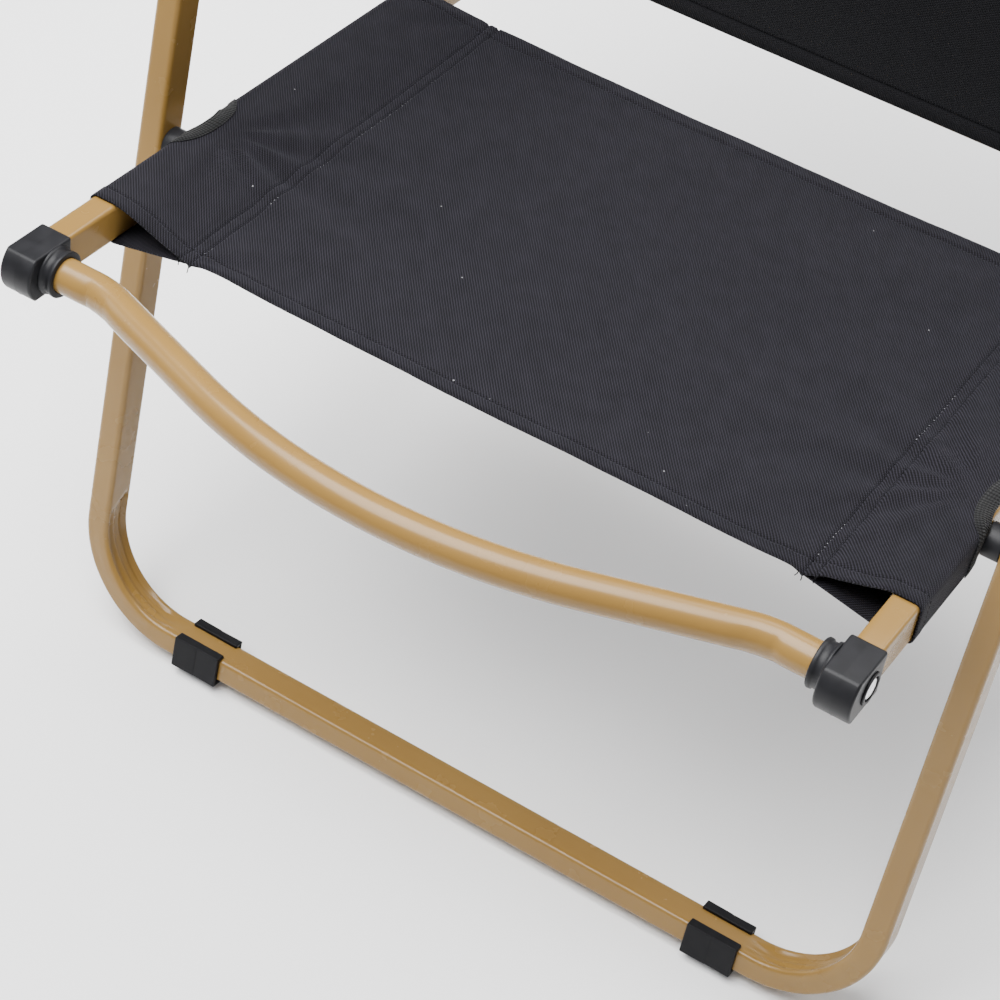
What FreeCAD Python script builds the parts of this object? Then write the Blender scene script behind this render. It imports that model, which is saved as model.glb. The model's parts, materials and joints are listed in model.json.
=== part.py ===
import FreeCAD, Part
import math
import os
import Sketcher
from FreeCAD import Placement, Rotation, Vector

# Low folding camp chair: two nested U-shaped leg frames, a slung cloth seat on two side rails,
# a slung cloth backrest and two timber armrests, all joined by pins that lie across the chair.
# X runs to the sitter's left, Y runs to the back, Z runs up, and the feet stand on Z = 0.
# The side rail, front leg, armrest and back upright are the four bars of a parallelogram.

doc = FreeCAD.newDocument("camp_chair")
sizes = doc.addObject("Spreadsheet::Sheet", "Sizes")

# Every driving dimension: millimetres, or degrees where the name says Lean, Rake or Angle.
DIMENSIONS = [
    ("legLean", 20.4),
    ("seatRake", 13.5),
    ("seatHalfWidth", 231.5),
    ("pivotGap", 10.5),
    ("seatPivotUp", 309.0),
    ("armPivotUp", 205.0),
    ("railSpan", 290.0),
    ("rearLegLong", 372.0),
    ("rearPivotBack", 80.0),
    ("rearPivotDrop", 5.0),
    ("rearFoldAngle", 9.0),
    ("backLong", 450.0),
    ("legWide", 15.0),
    ("legDeep", 20.0),
    ("railWide", 15.0),
    ("railHigh", 22.0),
    ("tubeWall", 1.5),
    ("tubeRound", 3.0),
    ("bendRadius", 60.0),
    ("railEnd", 10.0),
    ("uprightEnd", 12.0),
    ("legEnd", 8.0),
    ("rearEndSpare", 0.5),
    ("stemLong", 2.5),
    ("capThick", 1.5),
    ("plugDeep", 14.0),
    ("plugFit", 0.1),
    ("soleThick", 2.5),
    ("soleExtra", 0.9),
    ("clipLong", 31.0),
    ("clipWall", 2.5),
    ("clipLip", 4.0),
    ("clipInset", 82.5),
    ("rearClipInset", 82.5),
    ("clipFit", 0.1),
    ("crossBack", 131.0),
    ("crossDiameter", 19.0),
    ("crossBow", 48.0),
    ("crossAngle", 20.0),
    ("crossBendInset", 43.0),
    ("crossBendRadius", 60.0),
    ("connectorLong", 27.0),
    ("connectorWide", 19.0),
    ("connectorHigh", 25.6),
    ("connectorNose", 6.0),
    ("connectorWall", 1.6),
    ("collarLong", 7.5),
    ("collarWall", 2.5),
    ("ringDiameter", 17.0),
    ("ringHigh", 1.2),
    ("ringWall", 2.0),
    ("rivetHead", 11.0),
    ("rivetThick", 1.0),
    ("pinDiameter", 6.0),
    ("pinPlay", 0.05),
    ("pinHead", 13.0),
    ("headClear", 0.4),
    ("spacerDiameter", 18.0),
    ("spacerPlay", 0.25),
    ("washerThick", 2.0),
    ("washerDiameter", 14.0),
    ("braceDiameter", 16.0),
    ("braceDrop", 20.0),
    ("braceWall", 1.5),
    ("saddleLong", 26.0),
    ("saddleFit", 0.1),
    ("stopGap", 0.3),
    ("screwDiameter", 4.0),
    ("screwHead", 8.0),
    ("screwHeadThick", 2.0),
    ("lowerTubeUp", 27.0),
    ("lowerTubeDiameter", 19.0),
    ("clothThick", 1.0),
    ("clothGap", 0.3),
    ("clothFront", 80.0),
    ("clothBack", 212.0),
    ("clothSag", 9.0),
    ("seamInset", 50.0),
    ("hemFrontLong", 34.0),
    ("hemBackLong", 47.0),
    ("notchFront", 13.0),
    ("notchBack", 40.0),
    ("backClothLow", 22.0),
    ("backNotch", 24.0),
    ("boardLong", 330.0),
    ("boardWide", 46.0),
    ("boardThick", 14.0),
    ("boardOut", 15.0),
    ("boardGap", 14.0),
    ("boardRound", 20.0),
    ("boardEdge", 4.0),
    ("angleThick", 2.5),
    ("angleHigh", 24.0),
    ("angleWide", 22.0),
    ("angleTop", 14.5),
    ("angleEnd", 10.5),
    ("woodScrewInset", 60.0),
    ("woodScrewDeep", 9.8),
]
for row, (alias, value) in enumerate(DIMENSIONS, start=1):
    sizes.set("A%d" % row, alias)
    sizes.set("B%d" % row, str(value))
    sizes.setAlias("B%d" % row, alias)
doc.recompute()


def val(expression):
    """The present value of a dimension or of a sum of dimensions."""
    result = sizes.evalExpression(expression)
    return float(getattr(result, "Value", result))


def named(alias):
    """The value of one named dimension."""
    return val("Sizes." + alias)


# Distances that follow from the driving dimensions, as expressions for the features to follow.
LEG_HALF = "(Sizes.seatHalfWidth + Sizes.railWide / 2 + Sizes.pivotGap + Sizes.legWide / 2)"
REAR_HALF = "(Sizes.seatHalfWidth - Sizes.railWide / 2 - Sizes.pivotGap - Sizes.legWide / 2)"
PIN_HOLE = "(Sizes.pinDiameter / 2 + Sizes.pinPlay)"
# A pin head is thinner than the washer, so the armrest plates pass outside it as the chair folds.
PIN_HEAD_THICK = "(Sizes.washerThick - Sizes.headClear)"
TUBE_INNER = "(Sizes.tubeRound - Sizes.tubeWall)"

lean = math.radians(named("legLean"))
rake = math.radians(named("seatRake"))
leg_half = val(LEG_HALF)
rear_half = val(REAR_HALF)


def foot_height(angle):
    """How high a floor bar's middle stands when its frame leans by the angle."""
    tilted = named("legWide") / 2 * math.cos(angle) + named("legDeep") / 2 * math.sin(angle)
    return tilted + named("soleThick")


def along_leg(distance):
    """A step up the front leg, as a vector in the side plane."""
    return Vector(0, distance * math.sin(lean), distance * math.cos(lean))


def along_rail(back, up):
    """A step back along the side rail and square up from it."""
    step_y = back * math.cos(rake) + up * math.sin(rake)
    step_z = -back * math.sin(rake) + up * math.cos(rake)
    return Vector(0, step_y, step_z)


# Pin positions in the side plane, first measured from below the front floor bar.
front_foot = Vector(0, 0, foot_height(lean))
seat_pin = front_foot + along_leg(named("seatPivotUp"))
arm_pin = seat_pin + along_leg(named("armPivotUp"))
back_pin = seat_pin + along_rail(named("railSpan"), 0)
back_arm_pin = arm_pin + along_rail(named("railSpan"), 0)
rear_pin = seat_pin + along_rail(named("rearPivotBack"), -named("rearPivotDrop"))


def rear_lean_angle():
    """The lean that puts the rear floor bar's clips on the floor."""
    angle = math.radians(45)
    for _ in range(60):
        drop = rear_pin.z - foot_height(angle)
        angle = math.acos(drop / named("rearLegLong"))
    return angle


rear_lean = rear_lean_angle()
rear_foot = rear_pin - Vector(0, -math.sin(rear_lean), math.cos(rear_lean)) * named("rearLegLong")

# The origin is the middle of the floor area that the chair covers, so everything moves forward.
cloth_out = named("clothGap") + named("clothThick")
bow_reach = named("crossBack") + named("crossBow")
foremost = (seat_pin + along_rail(-bow_reach, 0)).y - named("crossDiameter") / 2
top_corner = along_leg(named("backLong") + named("legWide") / 2 + cloth_out)
rearmost = back_pin.y + top_corner.y + (named("legDeep") / 2 + cloth_out) * math.cos(lean)
shift = Vector(0, -(foremost + rearmost) / 2, 0)
front_foot += shift
seat_pin += shift
arm_pin += shift
back_pin += shift
back_arm_pin += shift
rear_pin += shift
rear_foot += shift

# A frame for each group: X across the chair, Y along its main tubes, Z square to both.
TURN_X = Vector(1, 0, 0)
LEG = Placement(front_foot, Rotation(TURN_X, 90 - math.degrees(lean)))
SEAT = Placement(seat_pin, Rotation(TURN_X, -math.degrees(rake)))
REAR = Placement(rear_foot, Rotation(TURN_X, 90 + math.degrees(rear_lean)))
BACK = Placement(back_pin, Rotation(TURN_X, 90 - math.degrees(lean)))
ARM = Placement(arm_pin, Rotation(TURN_X, -math.degrees(rake)))

parts = []


def finish(obj, label):
    """Give a finished sub-part its name and put it on the list to be written."""
    obj.Label = label
    parts.append(obj)
    return obj


def inside(frame, x=0.0, y=0.0, z=0.0, rotation=None):
    """A placement at a point of a group's frame."""
    turn = rotation if rotation else Rotation()
    return frame.multiply(Placement(Vector(x, y, z), turn))


def origin_plane(body, role):
    """One of a body's own origin planes."""
    for feature in body.Origin.OriginFeatures:
        if feature.Role == role:
            return feature
    raise ValueError(role)


def new_body(name, placement):
    """An empty body in its place."""
    body = doc.addObject("PartDesign::Body", name)
    body.Placement = placement
    return body


def new_sketch(body, name, role, offsets=None):
    """A sketch on one of the body's origin planes, moved by expressions in its own axes."""
    sketch = body.newObject("Sketcher::SketchObject", name)
    sketch.AttachmentSupport = [(origin_plane(body, role), "")]
    sketch.MapMode = "FlatFace"
    for axis, expression in (offsets or {}).items():
        sketch.setExpression("AttachmentOffset.Base." + axis, expression)
    return sketch


def bind(sketch, constraint, expression):
    """Add a constraint whose value is an expression."""
    index = sketch.addConstraint(constraint)
    sketch.renameConstraint(index, "size%d" % index)
    sketch.setExpression("Constraints.size%d" % index, expression)


def draw_rounded(sketch, width, height, radius):
    """A rounded rectangle about the sketch's origin."""
    half_w = val(width) / 2
    half_h = val(height) / 2
    r = val(radius)
    corners = [
        (Vector(half_w - r, -half_h + r, 0), -90),
        (Vector(half_w - r, half_h - r, 0), 0),
        (Vector(-half_w + r, half_h - r, 0), 90),
        (Vector(-half_w + r, -half_h + r, 0), 180),
    ]
    arcs = []
    normal = Vector(0, 0, 1)
    for centre, start in corners:
        circle = Part.Circle(centre, normal, r)
        arc = Part.ArcOfCircle(circle, math.radians(start), math.radians(start + 90))
        arcs.append(sketch.addGeometry(arc, False))
    lines = []
    for index in range(4):
        end = sketch.getPoint(arcs[index], 2)
        start = sketch.getPoint(arcs[(index + 1) % 4], 1)
        lines.append(sketch.addGeometry(Part.LineSegment(end, start), False))
    for index in range(4):
        following = arcs[(index + 1) % 4]
        sketch.addConstraint(Sketcher.Constraint("Tangent", arcs[index], 2, lines[index], 1))
        sketch.addConstraint(Sketcher.Constraint("Tangent", lines[index], 2, following, 1))
    sketch.addConstraint(Sketcher.Constraint("Vertical", lines[0]))
    sketch.addConstraint(Sketcher.Constraint("Vertical", lines[2]))
    sketch.addConstraint(Sketcher.Constraint("Horizontal", lines[1]))
    sketch.addConstraint(Sketcher.Constraint("Horizontal", lines[3]))
    for index in (1, 2, 3):
        sketch.addConstraint(Sketcher.Constraint("Equal", arcs[0], arcs[index]))
    sketch.addConstraint(Sketcher.Constraint("Symmetric", arcs[0], 3, arcs[2], 3, -1, 1))
    bind(sketch, Sketcher.Constraint("Radius", arcs[0], r), radius)
    bind(sketch, Sketcher.Constraint("DistanceX", lines[2], 1, lines[0], 1, 2 * half_w), width)
    bind(sketch, Sketcher.Constraint("DistanceY", lines[3], 1, lines[1], 1, 2 * half_h), height)


def draw_tube_section(sketch, width, height):
    """The outline and the bore of a rectangular tube with rounded corners."""
    draw_rounded(sketch, width, height, "Sizes.tubeRound")
    draw_rounded(
        sketch,
        "(%s - 2 * Sizes.tubeWall)" % width,
        "(%s - 2 * Sizes.tubeWall)" % height,
        TUBE_INNER,
    )


def draw_circles(sketch, radius, centres):
    """Equal circles at points given as pairs of expressions."""
    for across, along in centres:
        centre = Vector(val(across), val(along), 0)
        circle = sketch.addGeometry(Part.Circle(centre, Vector(0, 0, 1), val(radius)), False)
        bind(sketch, Sketcher.Constraint("Radius", circle, val(radius)), radius)
        for kind, expression, number in (
            ("DistanceX", across, centre.x),
            ("DistanceY", along, centre.y),
        ):
            if abs(number) < 1e-9:
                axis = -2 if kind == "DistanceX" else -1
                sketch.addConstraint(Sketcher.Constraint("PointOnObject", circle, 3, axis))
            else:
                bind(sketch, Sketcher.Constraint(kind, -1, 1, circle, 3, number), expression)


def pocket_through(body, sketch):
    """Cut a sketch right through a body both ways."""
    pocket = body.newObject("PartDesign::Pocket", sketch.Name + "Cut")
    pocket.Profile = sketch
    pocket.Type = "ThroughAll"
    pocket.Midplane = True
    return pocket


def draw_u_path(sketch, half, top):
    """The centre line of a U frame: two legs, two bends and the bar along the X axis."""
    w = val(half)
    t = val(top)
    r = named("bendRadius")
    normal = Vector(0, 0, 1)
    left = sketch.addGeometry(Part.LineSegment(Vector(-w, t, 0), Vector(-w, r, 0)), False)
    turn_l = Part.ArcOfCircle(Part.Circle(Vector(-w + r, r, 0), normal, r), math.pi, 1.5 * math.pi)
    bend_l = sketch.addGeometry(turn_l, False)
    bar = sketch.addGeometry(Part.LineSegment(Vector(-w + r, 0, 0), Vector(w - r, 0, 0)), False)
    turn_r = Part.ArcOfCircle(Part.Circle(Vector(w - r, r, 0), normal, r), 1.5 * math.pi, 2 * math.pi)
    bend_r = sketch.addGeometry(turn_r, False)
    right = sketch.addGeometry(Part.LineSegment(Vector(w, r, 0), Vector(w, t, 0)), False)
    sketch.addConstraint(Sketcher.Constraint("Tangent", left, 2, bend_l, 1))
    sketch.addConstraint(Sketcher.Constraint("Tangent", bend_l, 2, bar, 1))
    sketch.addConstraint(Sketcher.Constraint("Tangent", bar, 2, bend_r, 1))
    sketch.addConstraint(Sketcher.Constraint("Tangent", bend_r, 2, right, 1))
    sketch.addConstraint(Sketcher.Constraint("Vertical", left))
    sketch.addConstraint(Sketcher.Constraint("Vertical", right))
    sketch.addConstraint(Sketcher.Constraint("PointOnObject", bar, 1, -1))
    sketch.addConstraint(Sketcher.Constraint("PointOnObject", bar, 2, -1))
    sketch.addConstraint(Sketcher.Constraint("Equal", bend_l, bend_r))
    sketch.addConstraint(Sketcher.Constraint("Symmetric", left, 1, right, 2, -2))
    bind(sketch, Sketcher.Constraint("Radius", bend_l, r), "Sizes.bendRadius")
    bind(sketch, Sketcher.Constraint("DistanceX", left, 1, right, 2, 2 * w), "2 * " + half)
    bind(sketch, Sketcher.Constraint("DistanceY", -1, 1, right, 2, t), top)


def u_frame(label, placement, half, top, hole_heights):
    """A bent U of rectangular tube with pin holes across both legs."""
    body = new_body(label + "_body", placement)
    path = new_sketch(body, label + "_path", "XY_Plane")
    draw_u_path(path, half, top)
    section = new_sketch(body, label + "_section", "XZ_Plane", {"x": "-" + half, "z": "-" + top})
    draw_tube_section(section, "Sizes.legWide", "Sizes.legDeep")
    doc.recompute()
    pipe = body.newObject("PartDesign::AdditivePipe", label + "_pipe")
    pipe.Profile = section
    pipe.Spine = (path, ["Edge1", "Edge2", "Edge3", "Edge4", "Edge5"])
    doc.recompute()
    holes = new_sketch(body, label + "_holes", "YZ_Plane")
    draw_circles(holes, PIN_HOLE, [(height, "0") for height in hole_heights])
    pocket_through(body, holes)
    return finish(body, label)


def straight_tube(label, placement, width, height, length):
    """A straight rectangular tube that runs along Y of its frame."""
    body = new_body(label + "_body", placement)
    section = new_sketch(body, label + "_section", "XZ_Plane")
    draw_tube_section(section, width, height)
    pad = body.newObject("PartDesign::Pad", label + "_pad")
    pad.Profile = section
    pad.setExpression("Length", length)
    pad.Reversed = True
    doc.recompute()
    return body


def rod(name, radius, length, placement):
    """A cylinder that runs along X, starting at its placement."""
    solid = doc.addObject("Part::Cylinder", name)
    solid.setExpression("Radius", radius)
    solid.setExpression("Height", length)
    solid.Placement = placement.multiply(Placement(Vector(), Rotation(Vector(0, 1, 0), 90)))
    return solid


def block(name, length_x, length_y, length_z, placement):
    """A box that starts at its placement."""
    solid = doc.addObject("Part::Box", name)
    solid.setExpression("Length", length_x)
    solid.setExpression("Width", length_y)
    solid.setExpression("Height", length_z)
    solid.Placement = placement
    return solid


def fuse(name, shapes):
    """One solid from several."""
    joined = doc.addObject("Part::MultiFuse", name)
    joined.Shapes = shapes
    joined.Refine = True
    return joined


def cut(name, base, tool):
    """The base with the tool's shape taken out."""
    result = doc.addObject("Part::Cut", name)
    result.Base = base
    result.Tool = tool
    return result


def mirror(name, source):
    """The other side's copy, across the chair's middle plane."""
    copy = doc.addObject("Part::Mirroring", name)
    copy.Source = source
    copy.Base = Vector(0, 0, 0)
    copy.Normal = Vector(1, 0, 0)
    return copy


def group(label, solids):
    """Separate solids that share one node."""
    joined = doc.addObject("Part::Compound", label + "_set")
    joined.Links = solids
    return finish(joined, label)


def pair(label, solid):
    """A left solid and its mirror image in one node."""
    return group(label, [solid, mirror(label + "_mirror", solid)])


def both_sides(name, solid):
    """A left solid and its mirror image, each in a node of its own."""
    finish(solid, name + "_left")
    finish(mirror(name + "_mirror", solid), name + "_right")


def tube_plug(name, frame, x, y, width, height, outward):
    """A cap on a tube's end with a stem inside the bore; outward is +1 or -1 along Y."""
    head_y = y if outward > 0 else y - named("capThick")
    head = block(
        name + "_head",
        width,
        "Sizes.capThick",
        height,
        inside(frame, x - val(width) / 2, head_y, -val(height) / 2),
    )
    bore_w = "(%s - 2 * Sizes.tubeWall - 2 * Sizes.plugFit)" % width
    bore_h = "(%s - 2 * Sizes.tubeWall - 2 * Sizes.plugFit)" % height
    stem_y = y - named("stemLong") if outward > 0 else y
    stem = block(
        name + "_stem",
        bore_w,
        "Sizes.stemLong",
        bore_h,
        inside(frame, x - val(bore_w) / 2, stem_y, -val(bore_h) / 2),
    )
    stem_edges = doc.addObject("Part::Fillet", name + "_stem_round")
    stem_edges.Base = stem
    radius = val(TUBE_INNER)
    doc.recompute()
    edges = []
    direction = frame.Rotation.multVec(Vector(0, 1, 0))
    for number, edge in enumerate(stem.Shape.Edges, start=1):
        along = (edge.Vertexes[1].Point - edge.Vertexes[0].Point).normalize()
        if abs(along.dot(direction)) > 0.99:
            edges.append((number, radius, radius))
    stem_edges.Edges = edges
    return fuse(name, [head, stem_edges])


def pivot_pin(name, frame, x_inner, x_outer, y, z, inner_head, outer_head):
    """A pin along X between two faces, with a round head on the ends that are asked for."""
    shank = rod(
        name + "_shank",
        "Sizes.pinDiameter / 2",
        "%.6f" % (x_outer - x_inner),
        inside(frame, x_inner, y, z),
    )
    solids = [shank]
    if inner_head:
        place = inside(frame, x_inner - val(PIN_HEAD_THICK), y, z)
        solids.append(rod(name + "_in", "Sizes.pinHead / 2", PIN_HEAD_THICK, place))
    if outer_head:
        place = inside(frame, x_outer, y, z)
        solids.append(rod(name + "_out", "Sizes.pinHead / 2", PIN_HEAD_THICK, place))
    return fuse(name, solids)


def round_spacer(name, frame, x_start, length, diameter, y, z):
    """A thick washer on a pin."""
    outer = rod(name + "_body", diameter + " / 2", length, inside(frame, x_start, y, z))
    bore = rod(name + "_bore", PIN_HOLE, length, inside(frame, x_start, y, z))
    return cut(name, outer, bore)


# ---------------------------------------------------------------- front leg frame

leg_top = "(Sizes.seatPivotUp + Sizes.armPivotUp + Sizes.legEnd)"
u_frame(
    "front_leg_frame",
    LEG,
    LEG_HALF,
    leg_top,
    ["Sizes.seatPivotUp", "Sizes.seatPivotUp + Sizes.armPivotUp"],
)
leg_cap = tube_plug("leg_cap", LEG, leg_half, val(leg_top), "Sizes.legWide", "Sizes.legDeep", 1)
pair("front_leg_caps", leg_cap)


def foot_clip(name, frame, x):
    """A clip-on channel round a floor bar, with its sole cut flat on the floor."""
    outer_w = "(Sizes.legWide + Sizes.clipFit + 2 * Sizes.clipWall)"
    outer_d = "(Sizes.legDeep + 2 * Sizes.clipFit + 2 * Sizes.clipWall)"
    inner_w = "(Sizes.legWide + 2 * Sizes.clipFit)"
    inner_d = "(Sizes.legDeep + 2 * Sizes.clipFit)"
    start = x - named("clipLong") / 2
    under = -named("legWide") / 2 - named("clipFit") - named("clipWall")
    low = under - named("soleExtra")
    outer = block(
        name + "_outer",
        "Sizes.clipLong",
        "(%s + Sizes.soleExtra)" % outer_w,
        outer_d,
        inside(frame, start, low, -val(outer_d) / 2),
    )
    channel = block(
        name + "_channel",
        "Sizes.clipLong",
        inner_w,
        inner_d,
        inside(frame, start, -val(inner_w) / 2, -val(inner_d) / 2),
    )
    mouth = block(
        name + "_mouth",
        "Sizes.clipLong",
        outer_w,
        "(%s - 2 * Sizes.clipLip)" % inner_d,
        inside(frame, start, 0, -val(inner_d) / 2 + named("clipLip")),
    )
    open_channel = cut(name + "_open", outer, fuse(name + "_space", [channel, mouth]))
    ground = doc.addObject("Part::Box", name + "_ground")
    reach = 4 * (named("legDeep") + named("clipLong"))
    ground.Length = reach
    ground.Width = reach
    ground.Height = reach
    centre = frame.Base.y
    ground.Placement = Placement(Vector(x - reach / 2, centre - reach / 2, -reach), Rotation())
    return cut(name, open_channel, ground)


both_sides("front_foot_clip", foot_clip("front_clip", LEG, leg_half - named("clipInset")))

# ---------------------------------------------------------------- seat frame

rail_start = -named("crossBack") - named("railEnd")
rail_length = "(Sizes.crossBack + 2 * Sizes.railEnd + Sizes.railSpan)"


def seat_rail():
    """One side rail, with holes for the cross tube rivet and for its three pins."""
    place = inside(SEAT, named("seatHalfWidth"), rail_start, 0)
    body = straight_tube("rail", place, "Sizes.railWide", "Sizes.railHigh", rail_length)
    holes = new_sketch(body, "rail_holes", "YZ_Plane")
    front = "(Sizes.crossBack + Sizes.railEnd)"
    draw_circles(
        holes,
        PIN_HOLE,
        [
            ("Sizes.railEnd", "0"),
            (front, "0"),
            (front + " + Sizes.rearPivotBack", "-Sizes.rearPivotDrop"),
            (front + " + Sizes.railSpan", "0"),
        ],
    )
    pocket_through(body, holes)
    return body


both_sides("seat_rail", seat_rail())
rail_cap = tube_plug(
    "rail_cap",
    SEAT,
    named("seatHalfWidth"),
    named("railSpan") + named("railEnd"),
    "Sizes.railWide",
    "Sizes.railHigh",
    1,
)
pair("seat_rail_caps", rail_cap)

CROSS_HALF = "(Sizes.seatHalfWidth - Sizes.railWide / 2 - Sizes.plugFit)"
CROSS_CORNER = "(Sizes.seatHalfWidth - Sizes.crossBendInset)"
BOW_RADIUS = (
    "((%s * tan(Sizes.crossAngle * 1deg) - Sizes.crossBow)"
    " / (1 / cos(Sizes.crossAngle * 1deg) - 1))" % CROSS_CORNER
)
BEND_START = "(%s + Sizes.crossBendRadius * tan(Sizes.crossAngle * 0.5deg))" % CROSS_CORNER


def front_cross_tube():
    """A round tube between the rails' front ends, bowed forward in the plane of the seat."""
    body = new_body("cross_body", inside(SEAT, 0, -named("crossBack"), 0))
    path = new_sketch(body, "cross_path", "XY_Plane")
    angle = math.radians(named("crossAngle"))
    half = val(CROSS_HALF)
    bend = named("crossBendRadius")
    bow = val(BOW_RADIUS)
    start = val(BEND_START)
    normal = Vector(0, 0, 1)
    inner = start - bend * math.sin(angle)
    drop = bend * (1 - math.cos(angle))
    arc_x = bow * math.sin(angle)
    arc_y = -named("crossBow") + bow * (1 - math.cos(angle))
    quarter = 1.5 * math.pi

    def arc(centre, radius, first, last):
        circle = Part.Circle(centre, normal, radius)
        return path.addGeometry(Part.ArcOfCircle(circle, first, last), False)

    def line(first, last):
        return path.addGeometry(Part.LineSegment(first, last), False)

    end_l = line(Vector(-half, 0, 0), Vector(-start, 0, 0))
    bend_l = arc(Vector(-start, -bend, 0), bend, math.pi / 2 - angle, math.pi / 2)
    slope_l = line(Vector(-inner, -drop, 0), Vector(-arc_x, arc_y, 0))
    middle = arc(Vector(0, -named("crossBow") + bow, 0), bow, quarter - angle, quarter + angle)
    slope_r = line(Vector(arc_x, arc_y, 0), Vector(inner, -drop, 0))
    bend_r = arc(Vector(start, -bend, 0), bend, math.pi / 2, math.pi / 2 + angle)
    end_r = line(Vector(start, 0, 0), Vector(half, 0, 0))
    for first, point, second, other in (
        (end_l, 2, bend_l, 2),
        (bend_l, 1, slope_l, 1),
        (slope_l, 2, middle, 1),
        (middle, 2, slope_r, 1),
        (slope_r, 2, bend_r, 2),
        (bend_r, 1, end_r, 1),
    ):
        path.addConstraint(Sketcher.Constraint("Tangent", first, point, second, other))
    for line_id, point in ((end_l, 1), (end_l, 2), (end_r, 1), (end_r, 2)):
        path.addConstraint(Sketcher.Constraint("PointOnObject", line_id, point, -1))
    path.addConstraint(Sketcher.Constraint("Equal", bend_l, bend_r))
    bind(path, Sketcher.Constraint("Radius", bend_l, bend), "Sizes.crossBendRadius")
    bind(path, Sketcher.Constraint("Radius", middle, bow), BOW_RADIUS)
    bind(path, Sketcher.Constraint("DistanceX", -1, 1, end_r, 2, half), CROSS_HALF)
    bind(path, Sketcher.Constraint("DistanceX", end_l, 1, -1, 1, half), CROSS_HALF)
    bind(path, Sketcher.Constraint("DistanceX", -1, 1, end_r, 1, start), BEND_START)
    bind(path, Sketcher.Constraint("DistanceX", end_l, 2, end_r, 1, 2 * start), "2 * " + BEND_START)
    section = new_sketch(body, "cross_section", "YZ_Plane", {"z": "-" + CROSS_HALF})
    draw_circles(section, "Sizes.crossDiameter / 2", [("0", "0")])
    draw_circles(section, "(Sizes.crossDiameter / 2 - Sizes.tubeWall)", [("0", "0")])
    doc.recompute()
    pipe = body.newObject("PartDesign::AdditivePipe", "cross_pipe")
    pipe.Profile = section
    pipe.Spine = (path, ["Edge%d" % number for number in range(1, 8)])
    doc.recompute()
    return finish(body, "front_cross_tube")


front_cross_tube()


def draw_connector(sketch):
    """The end connector's side outline: flat top, rear and bottom, and a bowed nose."""
    top = named("connectorHigh") / 2
    back = named("connectorLong") / 2
    nose = named("connectorNose")
    corners = [
        Vector(back, top, 0),
        Vector(-back, top, 0),
        Vector(-back, -top, 0),
        Vector(back, -top, 0),
    ]
    upper = sketch.addGeometry(Part.LineSegment(corners[0], corners[1]), False)
    tip = Vector(-back - nose, 0, 0)
    front = sketch.addGeometry(Part.Arc(corners[1], tip, corners[2]), False)
    lower = sketch.addGeometry(Part.LineSegment(corners[2], corners[3]), False)
    rear = sketch.addGeometry(Part.LineSegment(corners[3], corners[0]), False)
    front_top = 1 if sketch.getPoint(front, 1).y > 0 else 2
    sketch.addConstraint(Sketcher.Constraint("Coincident", upper, 2, front, front_top))
    sketch.addConstraint(Sketcher.Constraint("Coincident", front, 3 - front_top, lower, 1))
    sketch.addConstraint(Sketcher.Constraint("Coincident", lower, 2, rear, 1))
    sketch.addConstraint(Sketcher.Constraint("Coincident", rear, 2, upper, 1))
    sketch.addConstraint(Sketcher.Constraint("Horizontal", upper))
    sketch.addConstraint(Sketcher.Constraint("Vertical", rear))
    sketch.addConstraint(Sketcher.Constraint("Symmetric", upper, 1, lower, 1, -1, 1))
    length = "Sizes.connectorLong"
    bind(sketch, Sketcher.Constraint("DistanceX", upper, 2, upper, 1, 2 * back), length)
    bind(sketch, Sketcher.Constraint("DistanceY", lower, 1, upper, 2, 2 * top), "Sizes.connectorHigh")
    curve = (
        "((Sizes.connectorHigh / 2) ^ 2 + Sizes.connectorNose ^ 2) / (2 * Sizes.connectorNose)"
    )
    bind(sketch, Sketcher.Constraint("Radius", front, val(curve)), curve)


def end_connector():
    """The moulded corner piece that caps a rail and holds the cross tube in a collar."""
    half = named("seatHalfWidth")
    inner_face = half - named("connectorWide") / 2
    outer_face = half + named("connectorWide") / 2
    axis = -named("crossBack")
    body = new_body("connector_body", inside(SEAT, half, axis, 0))
    outline = new_sketch(body, "connector_outline", "YZ_Plane")
    draw_connector(outline)
    pad = body.newObject("PartDesign::Pad", "connector_pad")
    pad.Profile = outline
    pad.setExpression("Length", "Sizes.connectorWide")
    pad.Midplane = True
    doc.recompute()
    collar_r = "(Sizes.crossDiameter / 2 + Sizes.plugFit + Sizes.collarWall)"
    collar_x = inner_face - named("collarLong")
    collar = rod("collar", collar_r, "Sizes.collarLong", inside(SEAT, collar_x, axis, 0))
    ring_place = inside(SEAT, outer_face, axis, 0)
    ring = rod("ring", "Sizes.ringDiameter / 2", "Sizes.ringHigh", ring_place)
    solid = fuse("connector_solid", [body, collar, ring])
    socket_w = "(Sizes.railWide + 2 * Sizes.plugFit)"
    socket_h = "(Sizes.railHigh + 2 * Sizes.plugFit)"
    socket_y = rail_start - named("plugFit")
    socket = block(
        "connector_socket",
        socket_w,
        "(Sizes.connectorLong * 2)",
        socket_h,
        inside(SEAT, half - val(socket_w) / 2, socket_y, -val(socket_h) / 2),
    )
    bore_r = "(Sizes.crossDiameter / 2 + Sizes.plugFit)"
    bore = rod("collar_bore", bore_r, "Sizes.connectorWide", inside(SEAT, collar_x, axis, 0))
    dish_r = "(Sizes.ringDiameter / 2 - Sizes.ringWall)"
    dish = rod("ring_dish", dish_r, "Sizes.ringHigh", ring_place)
    hole = rod("connector_hole", PIN_HOLE, "Sizes.connectorWide", inside(SEAT, half, axis, 0))
    return cut("end_connector", solid, fuse("connector_space", [socket, bore, dish, hole]))


both_sides("front_connector", end_connector())


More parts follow.
